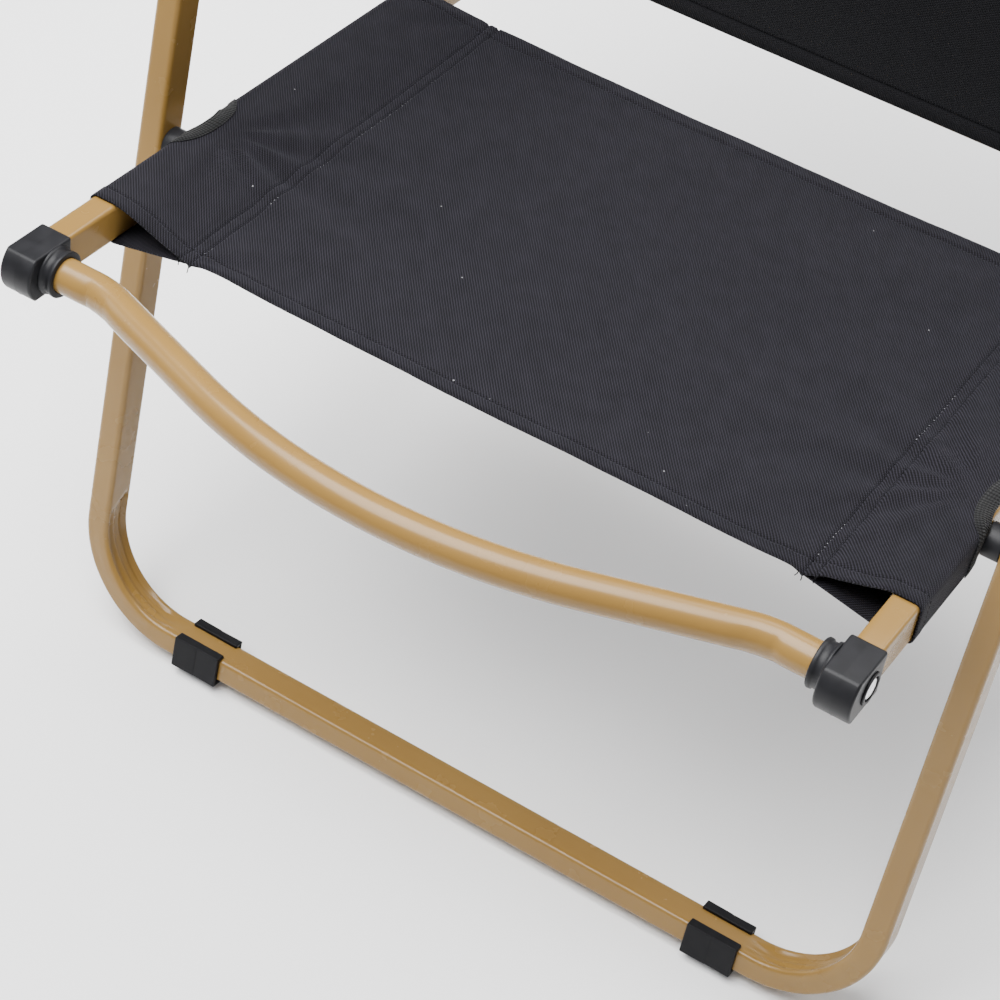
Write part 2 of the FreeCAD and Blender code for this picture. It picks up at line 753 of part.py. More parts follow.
def cross_rivet():
    """The rivet that holds the connector, the rail and a plug in the cross tube together."""
    axis = -named("crossBack")
    inner = val(CROSS_HALF) - named("plugDeep")
    outer = named("seatHalfWidth") + named("connectorWide") / 2
    plug_r = "(Sizes.crossDiameter / 2 - Sizes.tubeWall - Sizes.plugFit)"
    plug = rod("rivet_plug", plug_r, "Sizes.plugDeep", inside(SEAT, inner, axis, 0))
    shank_length = "%.6f" % (outer - inner - named("plugDeep"))
    shank_place = inside(SEAT, inner + named("plugDeep"), axis, 0)
    shank = rod("rivet_shank", "Sizes.pinDiameter / 2", shank_length, shank_place)
    head_place = inside(SEAT, outer, axis, 0)
    head = rod("rivet_head", "Sizes.rivetHead / 2", "Sizes.rivetThick", head_place)
    return fuse("cross_rivet", [plug, shank, head])


pair("cross_tube_rivets", cross_rivet())


def brace_centre():
    """Where the seat brace lies: under the rails, on the rear faces of the open rear legs."""
    spread = math.pi / 2 - rear_lean - rake
    reach = named("legDeep") / 2 + named("braceDiameter") / 2 + named("stopGap")
    up = reach * math.cos(spread)
    run = (named("braceDrop") + up - named("rearPivotDrop")) / math.sin(spread)
    back = named("rearPivotBack") + run * math.cos(spread) + reach * math.sin(spread)
    return back, -named("braceDrop")


brace_back, brace_up = brace_centre()
brace_half = "(Sizes.seatHalfWidth + Sizes.railWide / 2)"
brace_place = inside(SEAT, -val(brace_half), brace_back, brace_up)
brace_outer = rod("brace_outer", "Sizes.braceDiameter / 2", "2 * " + brace_half, brace_place)
brace_bore_r = "(Sizes.braceDiameter / 2 - Sizes.braceWall)"
brace_bore = rod("brace_bore", brace_bore_r, "2 * " + brace_half, brace_place)


def upright_rod(name, radius, length, x, low):
    """A cylinder square to the rails, through the brace's axis."""
    solid = doc.addObject("Part::Cylinder", name)
    solid.setExpression("Radius", radius)
    solid.setExpression("Height", length)
    solid.Placement = inside(SEAT, x, brace_back, low)
    return solid


screw_low = brace_up - named("braceDiameter") / 2
screw_hole_r = "(Sizes.screwDiameter / 2)"
screw_length = "(Sizes.braceDrop + Sizes.braceDiameter / 2 - Sizes.railHigh / 2 + 2 * Sizes.tubeWall)"


def brace_screw_rod(name, side):
    """The space that a brace screw fills on one side."""
    return upright_rod(name, screw_hole_r, screw_length, side * named("seatHalfWidth"), screw_low)


brace_holes = fuse("brace_holes", [brace_screw_rod("hole_l", 1), brace_screw_rod("hole_r", -1)])
brace_tube = cut("brace_tube", brace_outer, brace_bore)
finish(cut("brace_drilled", brace_tube, brace_holes), "seat_brace_tube")


def brace_saddle():
    """A moulded block that seats the round brace against a rail's flat underside."""
    wide = "Sizes.railWide"
    tall = "(Sizes.braceDrop - Sizes.railHigh / 2)"
    left = named("seatHalfWidth") - named("railWide") / 2
    length = named("saddleLong")
    place = inside(SEAT, left, brace_back - length / 2, brace_up)
    body = block("saddle_block", wide, "Sizes.saddleLong", tall, place)
    groove_r = "(Sizes.braceDiameter / 2 + Sizes.saddleFit)"
    groove = rod("saddle_groove", groove_r, wide, inside(SEAT, left, brace_back, brace_up))
    hole = brace_screw_rod("saddle_hole", 1)
    return cut("brace_saddle", body, fuse("saddle_space", [groove, hole]))


pair("seat_brace_saddles", brace_saddle())


def brace_screw():
    """The screw that holds a brace end up to its rail, stopping inside the rail's lower wall."""
    shank_length = "(Sizes.braceDrop + Sizes.braceDiameter / 2 - Sizes.railHigh / 2)"
    x = named("seatHalfWidth")
    shank = upright_rod("brace_shank", screw_hole_r, shank_length, x, screw_low)
    head_low = screw_low - named("screwHeadThick")
    head = upright_rod("brace_head", "Sizes.screwHead / 2", "Sizes.screwHeadThick", x, head_low)
    return fuse("brace_screw", [shank, head])


pair("seat_brace_screws", brace_screw())

# ---------------------------------------------------------------- rear leg frame

rear_end = "(Sizes.pinDiameter / 2 + Sizes.stemLong + Sizes.rearEndSpare)"
rear_top = "(Sizes.rearLegLong + %s)" % rear_end
u_frame("rear_leg_frame", REAR, REAR_HALF, rear_top, ["Sizes.rearLegLong"])
rear_cap = tube_plug("rear_cap", REAR, rear_half, val(rear_top), "Sizes.legWide", "Sizes.legDeep", 1)
pair("rear_leg_caps", rear_cap)
both_sides("rear_foot_clip", foot_clip("rear_clip", REAR, rear_half - named("rearClipInset")))

# ---------------------------------------------------------------- backrest frame

BACK_TOP = inside(BACK, 0, named("backLong"), 0, Rotation(Vector(0, 0, 1), 180))
u_frame(
    "backrest_frame",
    BACK_TOP,
    LEG_HALF,
    "(Sizes.backLong + Sizes.uprightEnd)",
    [
        "Sizes.backLong",
        "Sizes.backLong - Sizes.armPivotUp",
        "Sizes.backLong - Sizes.lowerTubeUp",
    ],
)
back_cap = tube_plug(
    "back_cap",
    BACK,
    leg_half,
    -named("uprightEnd"),
    "Sizes.legWide",
    "Sizes.legDeep",
    -1,
)
pair("backrest_caps", back_cap)

LOWER_HALF = "(%s - Sizes.legWide / 2)" % LEG_HALF
lower_place = inside(BACK, -val(LOWER_HALF), named("lowerTubeUp"), 0)
lower_outer = rod("lower_outer", "Sizes.lowerTubeDiameter / 2", "2 * " + LOWER_HALF, lower_place)
lower_bore_r = "(Sizes.lowerTubeDiameter / 2 - Sizes.tubeWall)"
lower_bore = rod("lower_bore", lower_bore_r, "2 * " + LOWER_HALF, lower_place)
finish(cut("lower_tube", lower_outer, lower_bore), "backrest_lower_tube")


def lower_rivet():
    """The rivet and plug that hold the lower tube to an upright."""
    up = named("lowerTubeUp")
    face = val(LOWER_HALF)
    plug_r = "(Sizes.lowerTubeDiameter / 2 - Sizes.tubeWall - Sizes.plugFit)"
    plug_place = inside(BACK, face - named("plugDeep"), up, 0)
    plug = rod("lower_plug", plug_r, "Sizes.plugDeep", plug_place)
    shank = rod("lower_shank", "Sizes.pinDiameter / 2", "Sizes.legWide", inside(BACK, face, up, 0))
    head_place = inside(BACK, face + named("legWide"), up, 0)
    head = rod("lower_head", "Sizes.rivetHead / 2", "Sizes.rivetThick", head_place)
    return fuse("lower_rivet", [plug, shank, head])


pair("backrest_tube_rivets", lower_rivet())

# ---------------------------------------------------------------- pins and spacers

rail_in = named("seatHalfWidth") - named("railWide") / 2
rail_out = named("seatHalfWidth") + named("railWide") / 2
leg_in = leg_half - named("legWide") / 2
leg_out = leg_half + named("legWide") / 2
rear_in = rear_half - named("legWide") / 2
plate_in = leg_out + named("washerThick")
plate_out = plate_in + named("angleThick")
span = named("railSpan")
rear_back = named("rearPivotBack")
rear_up = -named("rearPivotDrop")
GAP_LONG = "(Sizes.pivotGap - Sizes.spacerPlay)"
WASHER_LONG = "(Sizes.washerThick - Sizes.spacerPlay)"
SPACER = "Sizes.spacerDiameter"
WASHER = "Sizes.washerDiameter"
play = named("spacerPlay")

pair("seat_pivot_pins", pivot_pin("seat_pin", SEAT, rail_in, leg_out, 0, 0, True, True))
pair("back_pivot_pins", pivot_pin("back_pin", SEAT, rail_in, leg_out, span, 0, True, True))
pair(
    "rear_leg_pins",
    pivot_pin("rear_leg_pin", SEAT, rear_in, rail_out, rear_back, rear_up, True, False),
)
pair("armrest_front_pins", pivot_pin("arm_pin", ARM, leg_in, plate_out, 0, 0, True, True))
pair("armrest_rear_pins", pivot_pin("arm_rear_pin", ARM, leg_in, plate_out, span, 0, True, True))
seat_spacer = round_spacer("seat_spacer", SEAT, rail_out + play, GAP_LONG, SPACER, 0, 0)
pair("seat_pivot_spacers", seat_spacer)
back_spacer = round_spacer("back_spacer", SEAT, rail_out + play, GAP_LONG, SPACER, span, 0)
pair("back_pivot_spacers", back_spacer)
rear_spacer_x = rail_in - named("pivotGap") + play
rear_spacer = round_spacer(
    "rear_spacer", SEAT, rear_spacer_x, GAP_LONG, SPACER, rear_back, rear_up
)
pair("rear_leg_spacers", rear_spacer)
front_washer = round_spacer("front_washer", ARM, leg_out, WASHER_LONG, WASHER, 0, 0)
pair("armrest_front_washers", front_washer)
rear_washer = round_spacer("rear_washer", ARM, leg_out, WASHER_LONG, WASHER, span, 0)
pair("armrest_rear_washers", rear_washer)

# ---------------------------------------------------------------- armrests

board_x = leg_half + named("boardOut")
board_rear = span - named("boardGap")
board_y = board_rear - named("boardLong") / 2
screw_rows = [
    board_y - named("boardLong") / 2 + named("woodScrewInset"),
    board_rear - named("woodScrewInset"),
]
screw_x = plate_in + named("angleWide") / 2
WOOD_SCREW = "(Sizes.angleThick + Sizes.woodScrewDeep)"
angle_low = named("angleTop") - named("angleHigh")
angle_start = -named("angleEnd")


def wood_screw_rod(name, y, radius, length, low):
    """A cylinder square to the armrest at one of its screws."""
    solid = doc.addObject("Part::Cylinder", name)
    solid.setExpression("Radius", radius)
    solid.setExpression("Height", length)
    solid.Placement = inside(ARM, screw_x, y, low)
    return solid


def screw_spaces(name):
    """The two holes that the armrest's screws fill."""
    low = named("angleTop") - named("angleThick")
    holes = []
    for index, y in enumerate(screw_rows):
        holes.append(wood_screw_rod(name + str(index), y, screw_hole_r, WOOD_SCREW, low))
    return fuse(name, holes)


def armrest_board():
    """A timber board with rounded ends and softened edges."""
    body = new_body("board_body", inside(ARM, board_x, board_y, named("angleTop")))
    outline = new_sketch(body, "board_outline", "XY_Plane")
    draw_rounded(outline, "Sizes.boardWide", "Sizes.boardLong", "Sizes.boardRound")
    pad = body.newObject("PartDesign::Pad", "board_pad")
    pad.Profile = outline
    pad.setExpression("Length", "Sizes.boardThick")
    doc.recompute()
    rims = []
    for number, edge in enumerate(pad.Shape.Edges, start=1):
        heights = {round(vertex.Point.z, 3) for vertex in edge.Vertexes}
        if len(heights) == 1:
            rims.append("Edge%d" % number)
    softened = body.newObject("PartDesign::Fillet", "board_edges")
    softened.Base = (pad, rims)
    softened.setExpression("Radius", "Sizes.boardEdge")
    doc.recompute()
    return cut("board", body, screw_spaces("board_holes"))


def armrest_angle():
    """The metal angle under a board: its upright leaf carries both armrest pins."""
    leaf = block(
        "angle_leaf",
        "Sizes.angleThick",
        "(Sizes.railSpan + 2 * Sizes.angleEnd)",
        "Sizes.angleHigh",
        inside(ARM, plate_in, angle_start, angle_low),
    )
    shelf = block(
        "angle_shelf",
        "Sizes.angleWide",
        "(Sizes.railSpan - Sizes.boardGap - Sizes.boardRound / 2 + Sizes.angleEnd)",
        "Sizes.angleThick",
        inside(ARM, plate_in, angle_start, named("angleTop") - named("angleThick")),
    )
    solid = fuse("angle_solid", [leaf, shelf])
    front_hole = rod("angle_front_hole", PIN_HOLE, "Sizes.angleThick", inside(ARM, plate_in))
    slack = "(%s + Sizes.spacerPlay)" % PIN_HOLE
    rear_hole = rod("angle_rear_hole", slack, "Sizes.angleThick", inside(ARM, plate_in, span))
    space = fuse("angle_space", [front_hole, rear_hole, screw_spaces("angle_holes")])
    return cut("angle", solid, space)


def armrest_screws():
    """Two screws up through the angle into the board."""
    low = named("angleTop") - named("angleThick")
    head_low = low - named("screwHeadThick")
    screws = []
    for index, y in enumerate(screw_rows):
        shank = wood_screw_rod("wood_shank%d" % index, y, screw_hole_r, WOOD_SCREW, low)
        head = wood_screw_rod(
            "wood_head%d" % index, y, "Sizes.screwHead / 2", "Sizes.screwHeadThick", head_low
        )
        screws.append(fuse("wood_screw%d" % index, [shank, head]))
    compound = doc.addObject("Part::Compound", "wood_screws")
    compound.Links = screws
    return compound


both_sides("armrest_board", armrest_board())
both_sides("armrest_angle", armrest_angle())
both_sides("armrest_screws", armrest_screws())

# ---------------------------------------------------------------- cloth


def made_shape(label, shape, placement):
    """A cloth piece cut from the named sizes, in its place."""
    feature = doc.addObject("Part::Feature", label + "_cloth")
    feature.Shape = shape
    feature.Placement = placement
    return finish(feature, label)


def outline_solid(edges, direction):
    """A solid swept straight from a closed run of edges."""
    return Part.Face(Part.Wire(edges)).extrude(direction)


def polygon_solid(points, direction):
    """A solid swept straight from a polygon."""
    loop = points + [points[0]]
    return Part.Face(Part.makePolygon(loop)).extrude(direction)


thick = named("clothThick")
cloth_edge = rail_out + cloth_out
cloth_top = named("railHigh") / 2 + cloth_out
cloth_under = cloth_top - thick
front_y = -named("clothFront")
cloth_length = named("clothFront") + named("clothBack")


def seat_panel_shape():
    """The seat's top layer: flat on the rails and hanging in a shallow curve between them."""
    sag = named("clothSag")
    top = cloth_top
    low = cloth_under
    points = {
        "a": Vector(-cloth_edge, front_y, top),
        "b": Vector(-rail_in, front_y, top),
        "c": Vector(rail_in, front_y, top),
        "d": Vector(cloth_edge, front_y, top),
        "e": Vector(cloth_edge, front_y, low),
        "f": Vector(rail_in, front_y, low),
        "g": Vector(-rail_in, front_y, low),
        "i": Vector(-cloth_edge, front_y, low),
    }
    edges = [
        Part.makeLine(points["a"], points["b"]),
        Part.Arc(points["b"], Vector(0, front_y, top - sag), points["c"]).toShape(),
        Part.makeLine(points["c"], points["d"]),
        Part.makeLine(points["d"], points["e"]),
        Part.makeLine(points["e"], points["f"]),
        Part.Arc(points["f"], Vector(0, front_y, low - sag), points["g"]).toShape(),
        Part.makeLine(points["g"], points["i"]),
        Part.makeLine(points["i"], points["a"]),
    ]
    return outline_solid(edges, Vector(0, cloth_length, 0))


def seat_sleeve_shape():
    """The layer that wraps the left rail's outside and, at both ends, closes under it."""
    seam_x = rail_in - named("seamInset")
    sag_there = named("clothSag") * (1 - (seam_x / rail_in) ** 2)
    seam_top = cloth_under - sag_there - named("clothGap")
    run = rail_in - seam_x
    rise = seam_top - thick + cloth_top
    slant = thick * math.hypot(run, rise) / run
    section = [
        Vector(cloth_edge - thick, front_y, cloth_under),
        Vector(cloth_edge, front_y, cloth_under),
        Vector(cloth_edge, front_y, -cloth_top),
        Vector(rail_in, front_y, -cloth_top),
        Vector(seam_x, front_y, seam_top - slant),
        Vector(seam_x, front_y, seam_top),
        Vector(rail_in, front_y, -cloth_under),
        Vector(cloth_edge - thick, front_y, -cloth_under),
    ]
    front_hem = polygon_solid(section, Vector(0, named("hemFrontLong"), 0))
    back_hem = polygon_solid(section, Vector(0, named("hemBackLong"), 0))
    back_hem.translate(Vector(0, cloth_length - named("hemBackLong"), 0))
    wall_corner = Vector(cloth_edge - thick, front_y, -cloth_top)
    wall = Part.makeBox(thick, cloth_length, cloth_top + cloth_under, wall_corner)
    notch_high = cloth_top + cloth_under - 2 * thick
    notch_corner = Vector(cloth_edge - 2 * thick, -named("notchFront"), -cloth_top)
    notch = Part.makeBox(3 * thick, named("notchFront") + named("notchBack"), notch_high, notch_corner)
    return wall.cut(notch).fuse([front_hem, back_hem]).removeSplitter()


made_shape("seat_panel", seat_panel_shape(), SEAT)
sleeve = seat_sleeve_shape()
made_shape("seat_sleeve_left", sleeve, SEAT)
made_shape("seat_sleeve_right", sleeve.mirror(Vector(0, 0, 0), Vector(1, 0, 0)), SEAT)


def rounded_plate(half, low, high, radius, front, back):
    """A plate with a square foot and rounded top corners, from z = front to z = back."""
    corner_l = Vector(-half + radius, high - radius, front)
    corner_r = Vector(half - radius, high - radius, front)
    diagonal = radius * math.sqrt(0.5)
    edges = [
        Part.makeLine(Vector(-half, low, front), Vector(half, low, front)),
        Part.makeLine(Vector(half, low, front), Vector(half, high - radius, front)),
        Part.Arc(
            Vector(half, high - radius, front),
            corner_r + Vector(diagonal, diagonal, 0),
            Vector(half - radius, high, front),
        ).toShape(),
        Part.makeLine(Vector(half - radius, high, front), Vector(-half + radius, high, front)),
        Part.Arc(
            Vector(-half + radius, high, front),
            corner_l + Vector(-diagonal, diagonal, 0),
            Vector(-half, high - radius, front),
        ).toShape(),
        Part.makeLine(Vector(-half, high - radius, front), Vector(-half, low, front)),
    ]
    return outline_solid(edges, Vector(0, 0, back - front))


def back_cloth_shape():
    """The back's front layer, pulled over the uprights and the top bar, with a rear hem."""
    half = leg_out + cloth_out
    high = named("backLong") + named("legWide") / 2 + cloth_out
    radius = named("bendRadius") + named("legWide") / 2 + cloth_out
    deep = named("legDeep") / 2 + cloth_out
    low = named("backClothLow")
    outer = rounded_plate(half, low, high, radius, -deep, deep)
    bore_low = low - thick
    bore = rounded_plate(half - thick, bore_low, high - thick, radius - thick, thick - deep, deep - thick)
    window_half = leg_in - named("seamInset")
    window_high = named("backLong") - named("legWide") / 2 - named("seamInset")
    window = rounded_plate(window_half, bore_low, window_high, thick, -deep - thick, 0)
    solid = outer.cut(bore).cut(window)
    arm_notch = named("backNotch")
    heel_high = named("lowerTubeUp") + named("rivetHead") - low
    for side in (-1, 1):
        x = side * half - 2 * thick
        up = named("armPivotUp") - arm_notch
        place = Vector(x, up, -deep - thick)
        solid = solid.cut(Part.makeBox(4 * thick, 2 * arm_notch, 2 * deep, place))
        place = Vector(x, low - thick, -deep - thick)
        solid = solid.cut(Part.makeBox(4 * thick, heel_high + thick, 2 * deep, place))
    return solid


made_shape("backrest_cloth", back_cloth_shape(), BACK)

# ---------------------------------------------------------------- checks and files

doc.recompute()
for obj in doc.Objects:
    if "Invalid" in obj.State or "Error" in obj.State:
        raise RuntimeError("failed feature: " + obj.Name)
for obj in parts:
    if obj.Shape.isNull() or not obj.Shape.isValid():
        raise RuntimeError("bad shape: " + obj.Label)
    if not obj.Shape.Solids:
        raise RuntimeError("no solid: " + obj.Label)

os.makedirs("parts", exist_ok=True)
for obj in parts:
    obj.Shape.exportStep("parts/%s.step" % obj.Label)

whole = Part.makeCompound([obj.Shape for obj in parts]).BoundBox
print("nodes", len(parts))
corners = (whole.XMin, whole.XMax, whole.YMin, whole.YMax, whole.ZMin, whole.ZMax)
print("box", [round(value, 2) for value in corners])
fold = 90 - math.degrees(lean) + math.degrees(rake)
rear_fold = 180 - named("rearFoldAngle") - (90 - math.degrees(rear_lean) - math.degrees(rake))
print("fold angle", round(fold, 4), "rear leg fold", round(rear_fold, 4))
for name, pin in (
    ("seat_pin", seat_pin),
    ("arm_pin", arm_pin),
    ("back_pin", back_pin),
    ("rear_pin", rear_pin),
    ("front_foot", front_foot),
    ("rear_foot", rear_foot),
):
    print(name, round(pin.y, 4), round(pin.z, 4))
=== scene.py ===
import json
import math
import random

import bmesh
import bpy
from mathutils import Matrix, Vector, noise


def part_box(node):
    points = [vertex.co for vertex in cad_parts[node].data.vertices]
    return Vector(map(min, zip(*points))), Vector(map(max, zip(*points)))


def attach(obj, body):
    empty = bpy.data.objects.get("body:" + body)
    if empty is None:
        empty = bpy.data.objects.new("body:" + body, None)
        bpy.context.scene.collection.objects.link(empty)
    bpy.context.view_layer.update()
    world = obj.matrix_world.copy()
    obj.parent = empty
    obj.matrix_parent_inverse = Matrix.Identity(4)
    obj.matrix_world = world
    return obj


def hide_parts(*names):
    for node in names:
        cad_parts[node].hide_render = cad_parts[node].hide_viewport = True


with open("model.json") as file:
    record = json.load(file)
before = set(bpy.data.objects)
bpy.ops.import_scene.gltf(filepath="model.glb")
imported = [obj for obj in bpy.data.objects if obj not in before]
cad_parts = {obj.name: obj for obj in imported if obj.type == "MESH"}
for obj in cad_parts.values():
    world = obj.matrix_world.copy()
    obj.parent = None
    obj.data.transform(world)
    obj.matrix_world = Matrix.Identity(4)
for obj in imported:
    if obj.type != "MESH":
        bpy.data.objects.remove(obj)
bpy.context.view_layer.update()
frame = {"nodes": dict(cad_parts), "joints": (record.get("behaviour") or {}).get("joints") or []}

random.seed(7)

# ------------------------------------------------------------------ places from the frame
# Lengths are in metres. X runs to the sitter's left, Y to the back, Z up.

MM = 0.001
ACROSS = Vector((1, 0, 0))
PIVOTS = {joint["name"]: Vector(joint["pos_m"]) for joint in frame["joints"]}
SEAT_PIN = PIVOTS["seat_fold"]
ARM_PIN = PIVOTS["armrest_left_fold"]
BACK_PIN = PIVOTS["back_fold"]
REAR_PIN = PIVOTS["rear_leg_fold"]
UP_LEG = (ARM_PIN - SEAT_PIN).normalized()
BACK_RAIL = (BACK_PIN - SEAT_PIN).normalized()
RAIL_SPAN = (BACK_PIN - SEAT_PIN).length
ARM_UP = (ARM_PIN - SEAT_PIN).length


def side_frame(origin, along):
    """A frame whose X lies across the chair and whose Y runs along a tube."""
    along = along.normalized()
    turn = Matrix((ACROSS, along, ACROSS.cross(along))).transposed()
    return Matrix.Translation(origin) @ turn.to_4x4()


LEG_WIDE = 15 * MM
LEG_DEEP = 20 * MM
RAIL_HIGH = 22 * MM
TUBE_ROUND = 2.4 * MM
TUBE_WALL = 1.5 * MM
FIT = 0.1 * MM
SOFT_EDGE = 0.7 * MM
BEND = 60 * MM
LEG_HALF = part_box("front_leg_frame")[1].x - LEG_WIDE / 2
REAR_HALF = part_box("rear_leg_frame")[1].x - LEG_WIDE / 2
RAIL_HALF = (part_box("seat_rail_left")[0].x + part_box("seat_rail_left")[1].x) / 2
SEAT_PIN_UP = 309 * MM
REAR_LEG_LONG = 372 * MM
BACK_LONG = 450 * MM
LEG_END = 8 * MM
REAR_END = 6 * MM
UPRIGHT_END = 12 * MM
CROSS_BACK = 131 * MM
RAIL_END = 10 * MM
CLIP_INSET = 82.5 * MM
REAR_BAR_HIGH = 14.866 * MM

FRONT_FOOT = SEAT_PIN - UP_LEG * SEAT_PIN_UP
rear_rise = REAR_PIN.z - REAR_BAR_HIGH
rear_run = math.sqrt(REAR_LEG_LONG**2 - rear_rise**2)
REAR_FOOT = REAR_PIN + Vector((0, rear_run, -rear_rise))
LEG = side_frame(FRONT_FOOT, UP_LEG)
SEAT = side_frame(SEAT_PIN, BACK_RAIL)
REAR = side_frame(REAR_FOOT, REAR_PIN - REAR_FOOT)
BACK = side_frame(BACK_PIN, UP_LEG)
ARM = side_frame(ARM_PIN, BACK_RAIL)
BACK_TOP = BACK @ Matrix.Translation((0, BACK_LONG, 0)) @ Matrix.Rotation(math.pi, 4, "Z")

# ------------------------------------------------------------------ node helpers


def node(tree, kind, inputs=None, **settings):
    """A node with its settings, and with values or links on its inputs."""
    made = tree.nodes.new(kind)
    for key, value in settings.items():
        setattr(made, key, value)
    for key, value in (inputs or {}).items():
        if isinstance(value, bpy.types.NodeSocket):
            tree.links.new(value, made.inputs[key])
        else:
            made.inputs[key].default_value = value
    return made


def maths(tree, operation, first, second=0.0, third=0.0):
    """The result of a Math node."""
    made = node(tree, "ShaderNodeMath", {0: first, 1: second, 2: third}, operation=operation)
    return made.outputs[0]


def group(name, inputs, outputs):
    """An empty node group with named float or vector inputs and float outputs."""
    tree = bpy.data.node_groups.new(name, "ShaderNodeTree")
    for label, value in inputs.items():
        kind = "NodeSocketVector" if label == "Vector" else "NodeSocketFloat"
        socket = tree.interface.new_socket(name=label, in_out="INPUT", socket_type=kind)
        if kind == "NodeSocketFloat":
            socket.default_value = value
    for label in outputs:
        tree.interface.new_socket(name=label, in_out="OUTPUT", socket_type="NodeSocketFloat")
    return tree, node(tree, "NodeGroupInput"), node(tree, "NodeGroupOutput")


def noise_at(tree, vector, scale, detail=2.0):
    """A noise value from 0 to 1; scale is in cycles per metre."""
    made = node(tree, "ShaderNodeTexNoise", {"Vector": vector, "Scale": scale, "Detail": detail})
    return made.outputs["Fac"]


def coat_group():
    """Baked powder coat: orange peel, a soft change of tone, and small rub marks."""
    values = {"Vector": 0, "Peel": 700.0}
    tree, given, result = group("powder_coat", values, ["Height", "Tone", "Gloss"])
    vector = given.outputs["Vector"]
    peel = noise_at(tree, vector, given.outputs["Peel"], 1.0)
    tone = noise_at(tree, vector, 14.0, 3.0)
    dust = noise_at(tree, vector, 260.0, 4.0)
    marks = maths(tree, "GREATER_THAN", dust, 0.69)
    tree.links.new(peel, result.inputs["Height"])
    tree.links.new(maths(tree, "MULTIPLY_ADD", marks, 0.07, tone), result.inputs["Tone"])
    tree.links.new(noise_at(tree, vector, 55.0, 3.0), result.inputs["Gloss"])
    return tree


def grain_group():
    """The fine eroded grain of moulded plastic or rubber."""
    tree, given, result = group("moulded_grain", {"Vector": 0, "Grain": 2200.0}, ["Height", "Tone"])
    vector = given.outputs["Vector"]
    fine = noise_at(tree, vector, given.outputs["Grain"], 2.0)
    broad = noise_at(tree, vector, 120.0, 3.0)
    tree.links.new(maths(tree, "MULTIPLY_ADD", broad, 0.5, fine), result.inputs["Height"])
    tree.links.new(broad, result.inputs["Tone"])
    return tree


def twill_group():
    """Twill on UV coordinates in metres: slanting ribs broken into single yarns."""
    values = {"Vector": 0, "Rib": 0.00135, "Slant": -0.68}
    tree, given, result = group("twill", values, ["Height", "Tone", "Lint"])
    vector = given.outputs["Vector"]
    turn = node(
        tree,
        "ShaderNodeVectorRotate",
        {"Vector": vector, "Angle": given.outputs["Slant"]},
        rotation_type="Z_AXIS",
    )
    split = node(tree, "ShaderNodeSeparateXYZ", {"Vector": turn.outputs[0]})
    rate = maths(tree, "DIVIDE", 2 * math.pi, given.outputs["Rib"])
    wander = maths(tree, "MULTIPLY", noise_at(tree, vector, 160.0, 2.0), 1.5)
    phase = maths(tree, "MULTIPLY_ADD", split.outputs["X"], rate, wander)
    rib = maths(tree, "MULTIPLY_ADD", maths(tree, "SINE", phase), 0.5, 0.5)
    along = maths(tree, "MULTIPLY", split.outputs["Y"], maths(tree, "MULTIPLY", rate, 1.3))
    stagger = maths(tree, "MULTIPLY_ADD", phase, 0.5, along)
    yarn = maths(tree, "MULTIPLY_ADD", maths(tree, "SINE", stagger), 0.5, 0.5)
    height = maths(tree, "MULTIPLY_ADD", yarn, 0.35, maths(tree, "MULTIPLY", rib, 0.65))
    slub = noise_at(tree, vector, 90.0, 4.0)
    spots = node(tree, "ShaderNodeTexVoronoi", {"Vector": vector, "Scale": 95.0})
    near = maths(tree, "LESS_THAN", spots.outputs["Distance"], 0.045)
    pick = node(tree, "ShaderNodeSeparateColor", {"Color": spots.outputs["Color"]})
    chosen = maths(tree, "GREATER_THAN", pick.outputs[0], 0.93)
    tree.links.new(height, result.inputs["Height"])
    # Tone: the slub's real change of tone, plus painted shade that darkens the valleys between ribs.
    slub_and_painted_rib_shade = maths(tree, "MULTIPLY_ADD", slub, 0.3, maths(tree, "MULTIPLY", height, 0.85))
    tree.links.new(slub_and_painted_rib_shade, result.inputs["Tone"])
    tree.links.new(maths(tree, "MULTIPLY", near, chosen), result.inputs["Lint"])
    return tree


def tape_group():
    """Woven tape on UV coordinates in metres: ribs across the tape."""
    tree, given, result = group("tape_weave", {"Vector": 0, "Rib": 0.0016}, ["Height", "Tone"])
    split = node(tree, "ShaderNodeSeparateXYZ", {"Vector": given.outputs["Vector"]})
    rate = maths(tree, "DIVIDE", 2 * math.pi, given.outputs["Rib"])
    lengthwise = maths(tree, "SINE", maths(tree, "MULTIPLY", split.outputs["X"], rate))
    crosswise = maths(tree, "SINE", maths(tree, "MULTIPLY", split.outputs["Y"], rate))
    ribs = maths(tree, "MULTIPLY_ADD", crosswise, 0.25, maths(tree, "MULTIPLY", lengthwise, 0.35))
    height = maths(tree, "ADD", ribs, 0.5)
    tree.links.new(height, result.inputs["Height"])
    # Tone: the rib height again, as painted shade in the valleys between ribs.
    tree.links.new(height, result.inputs["Tone"])
    return tree


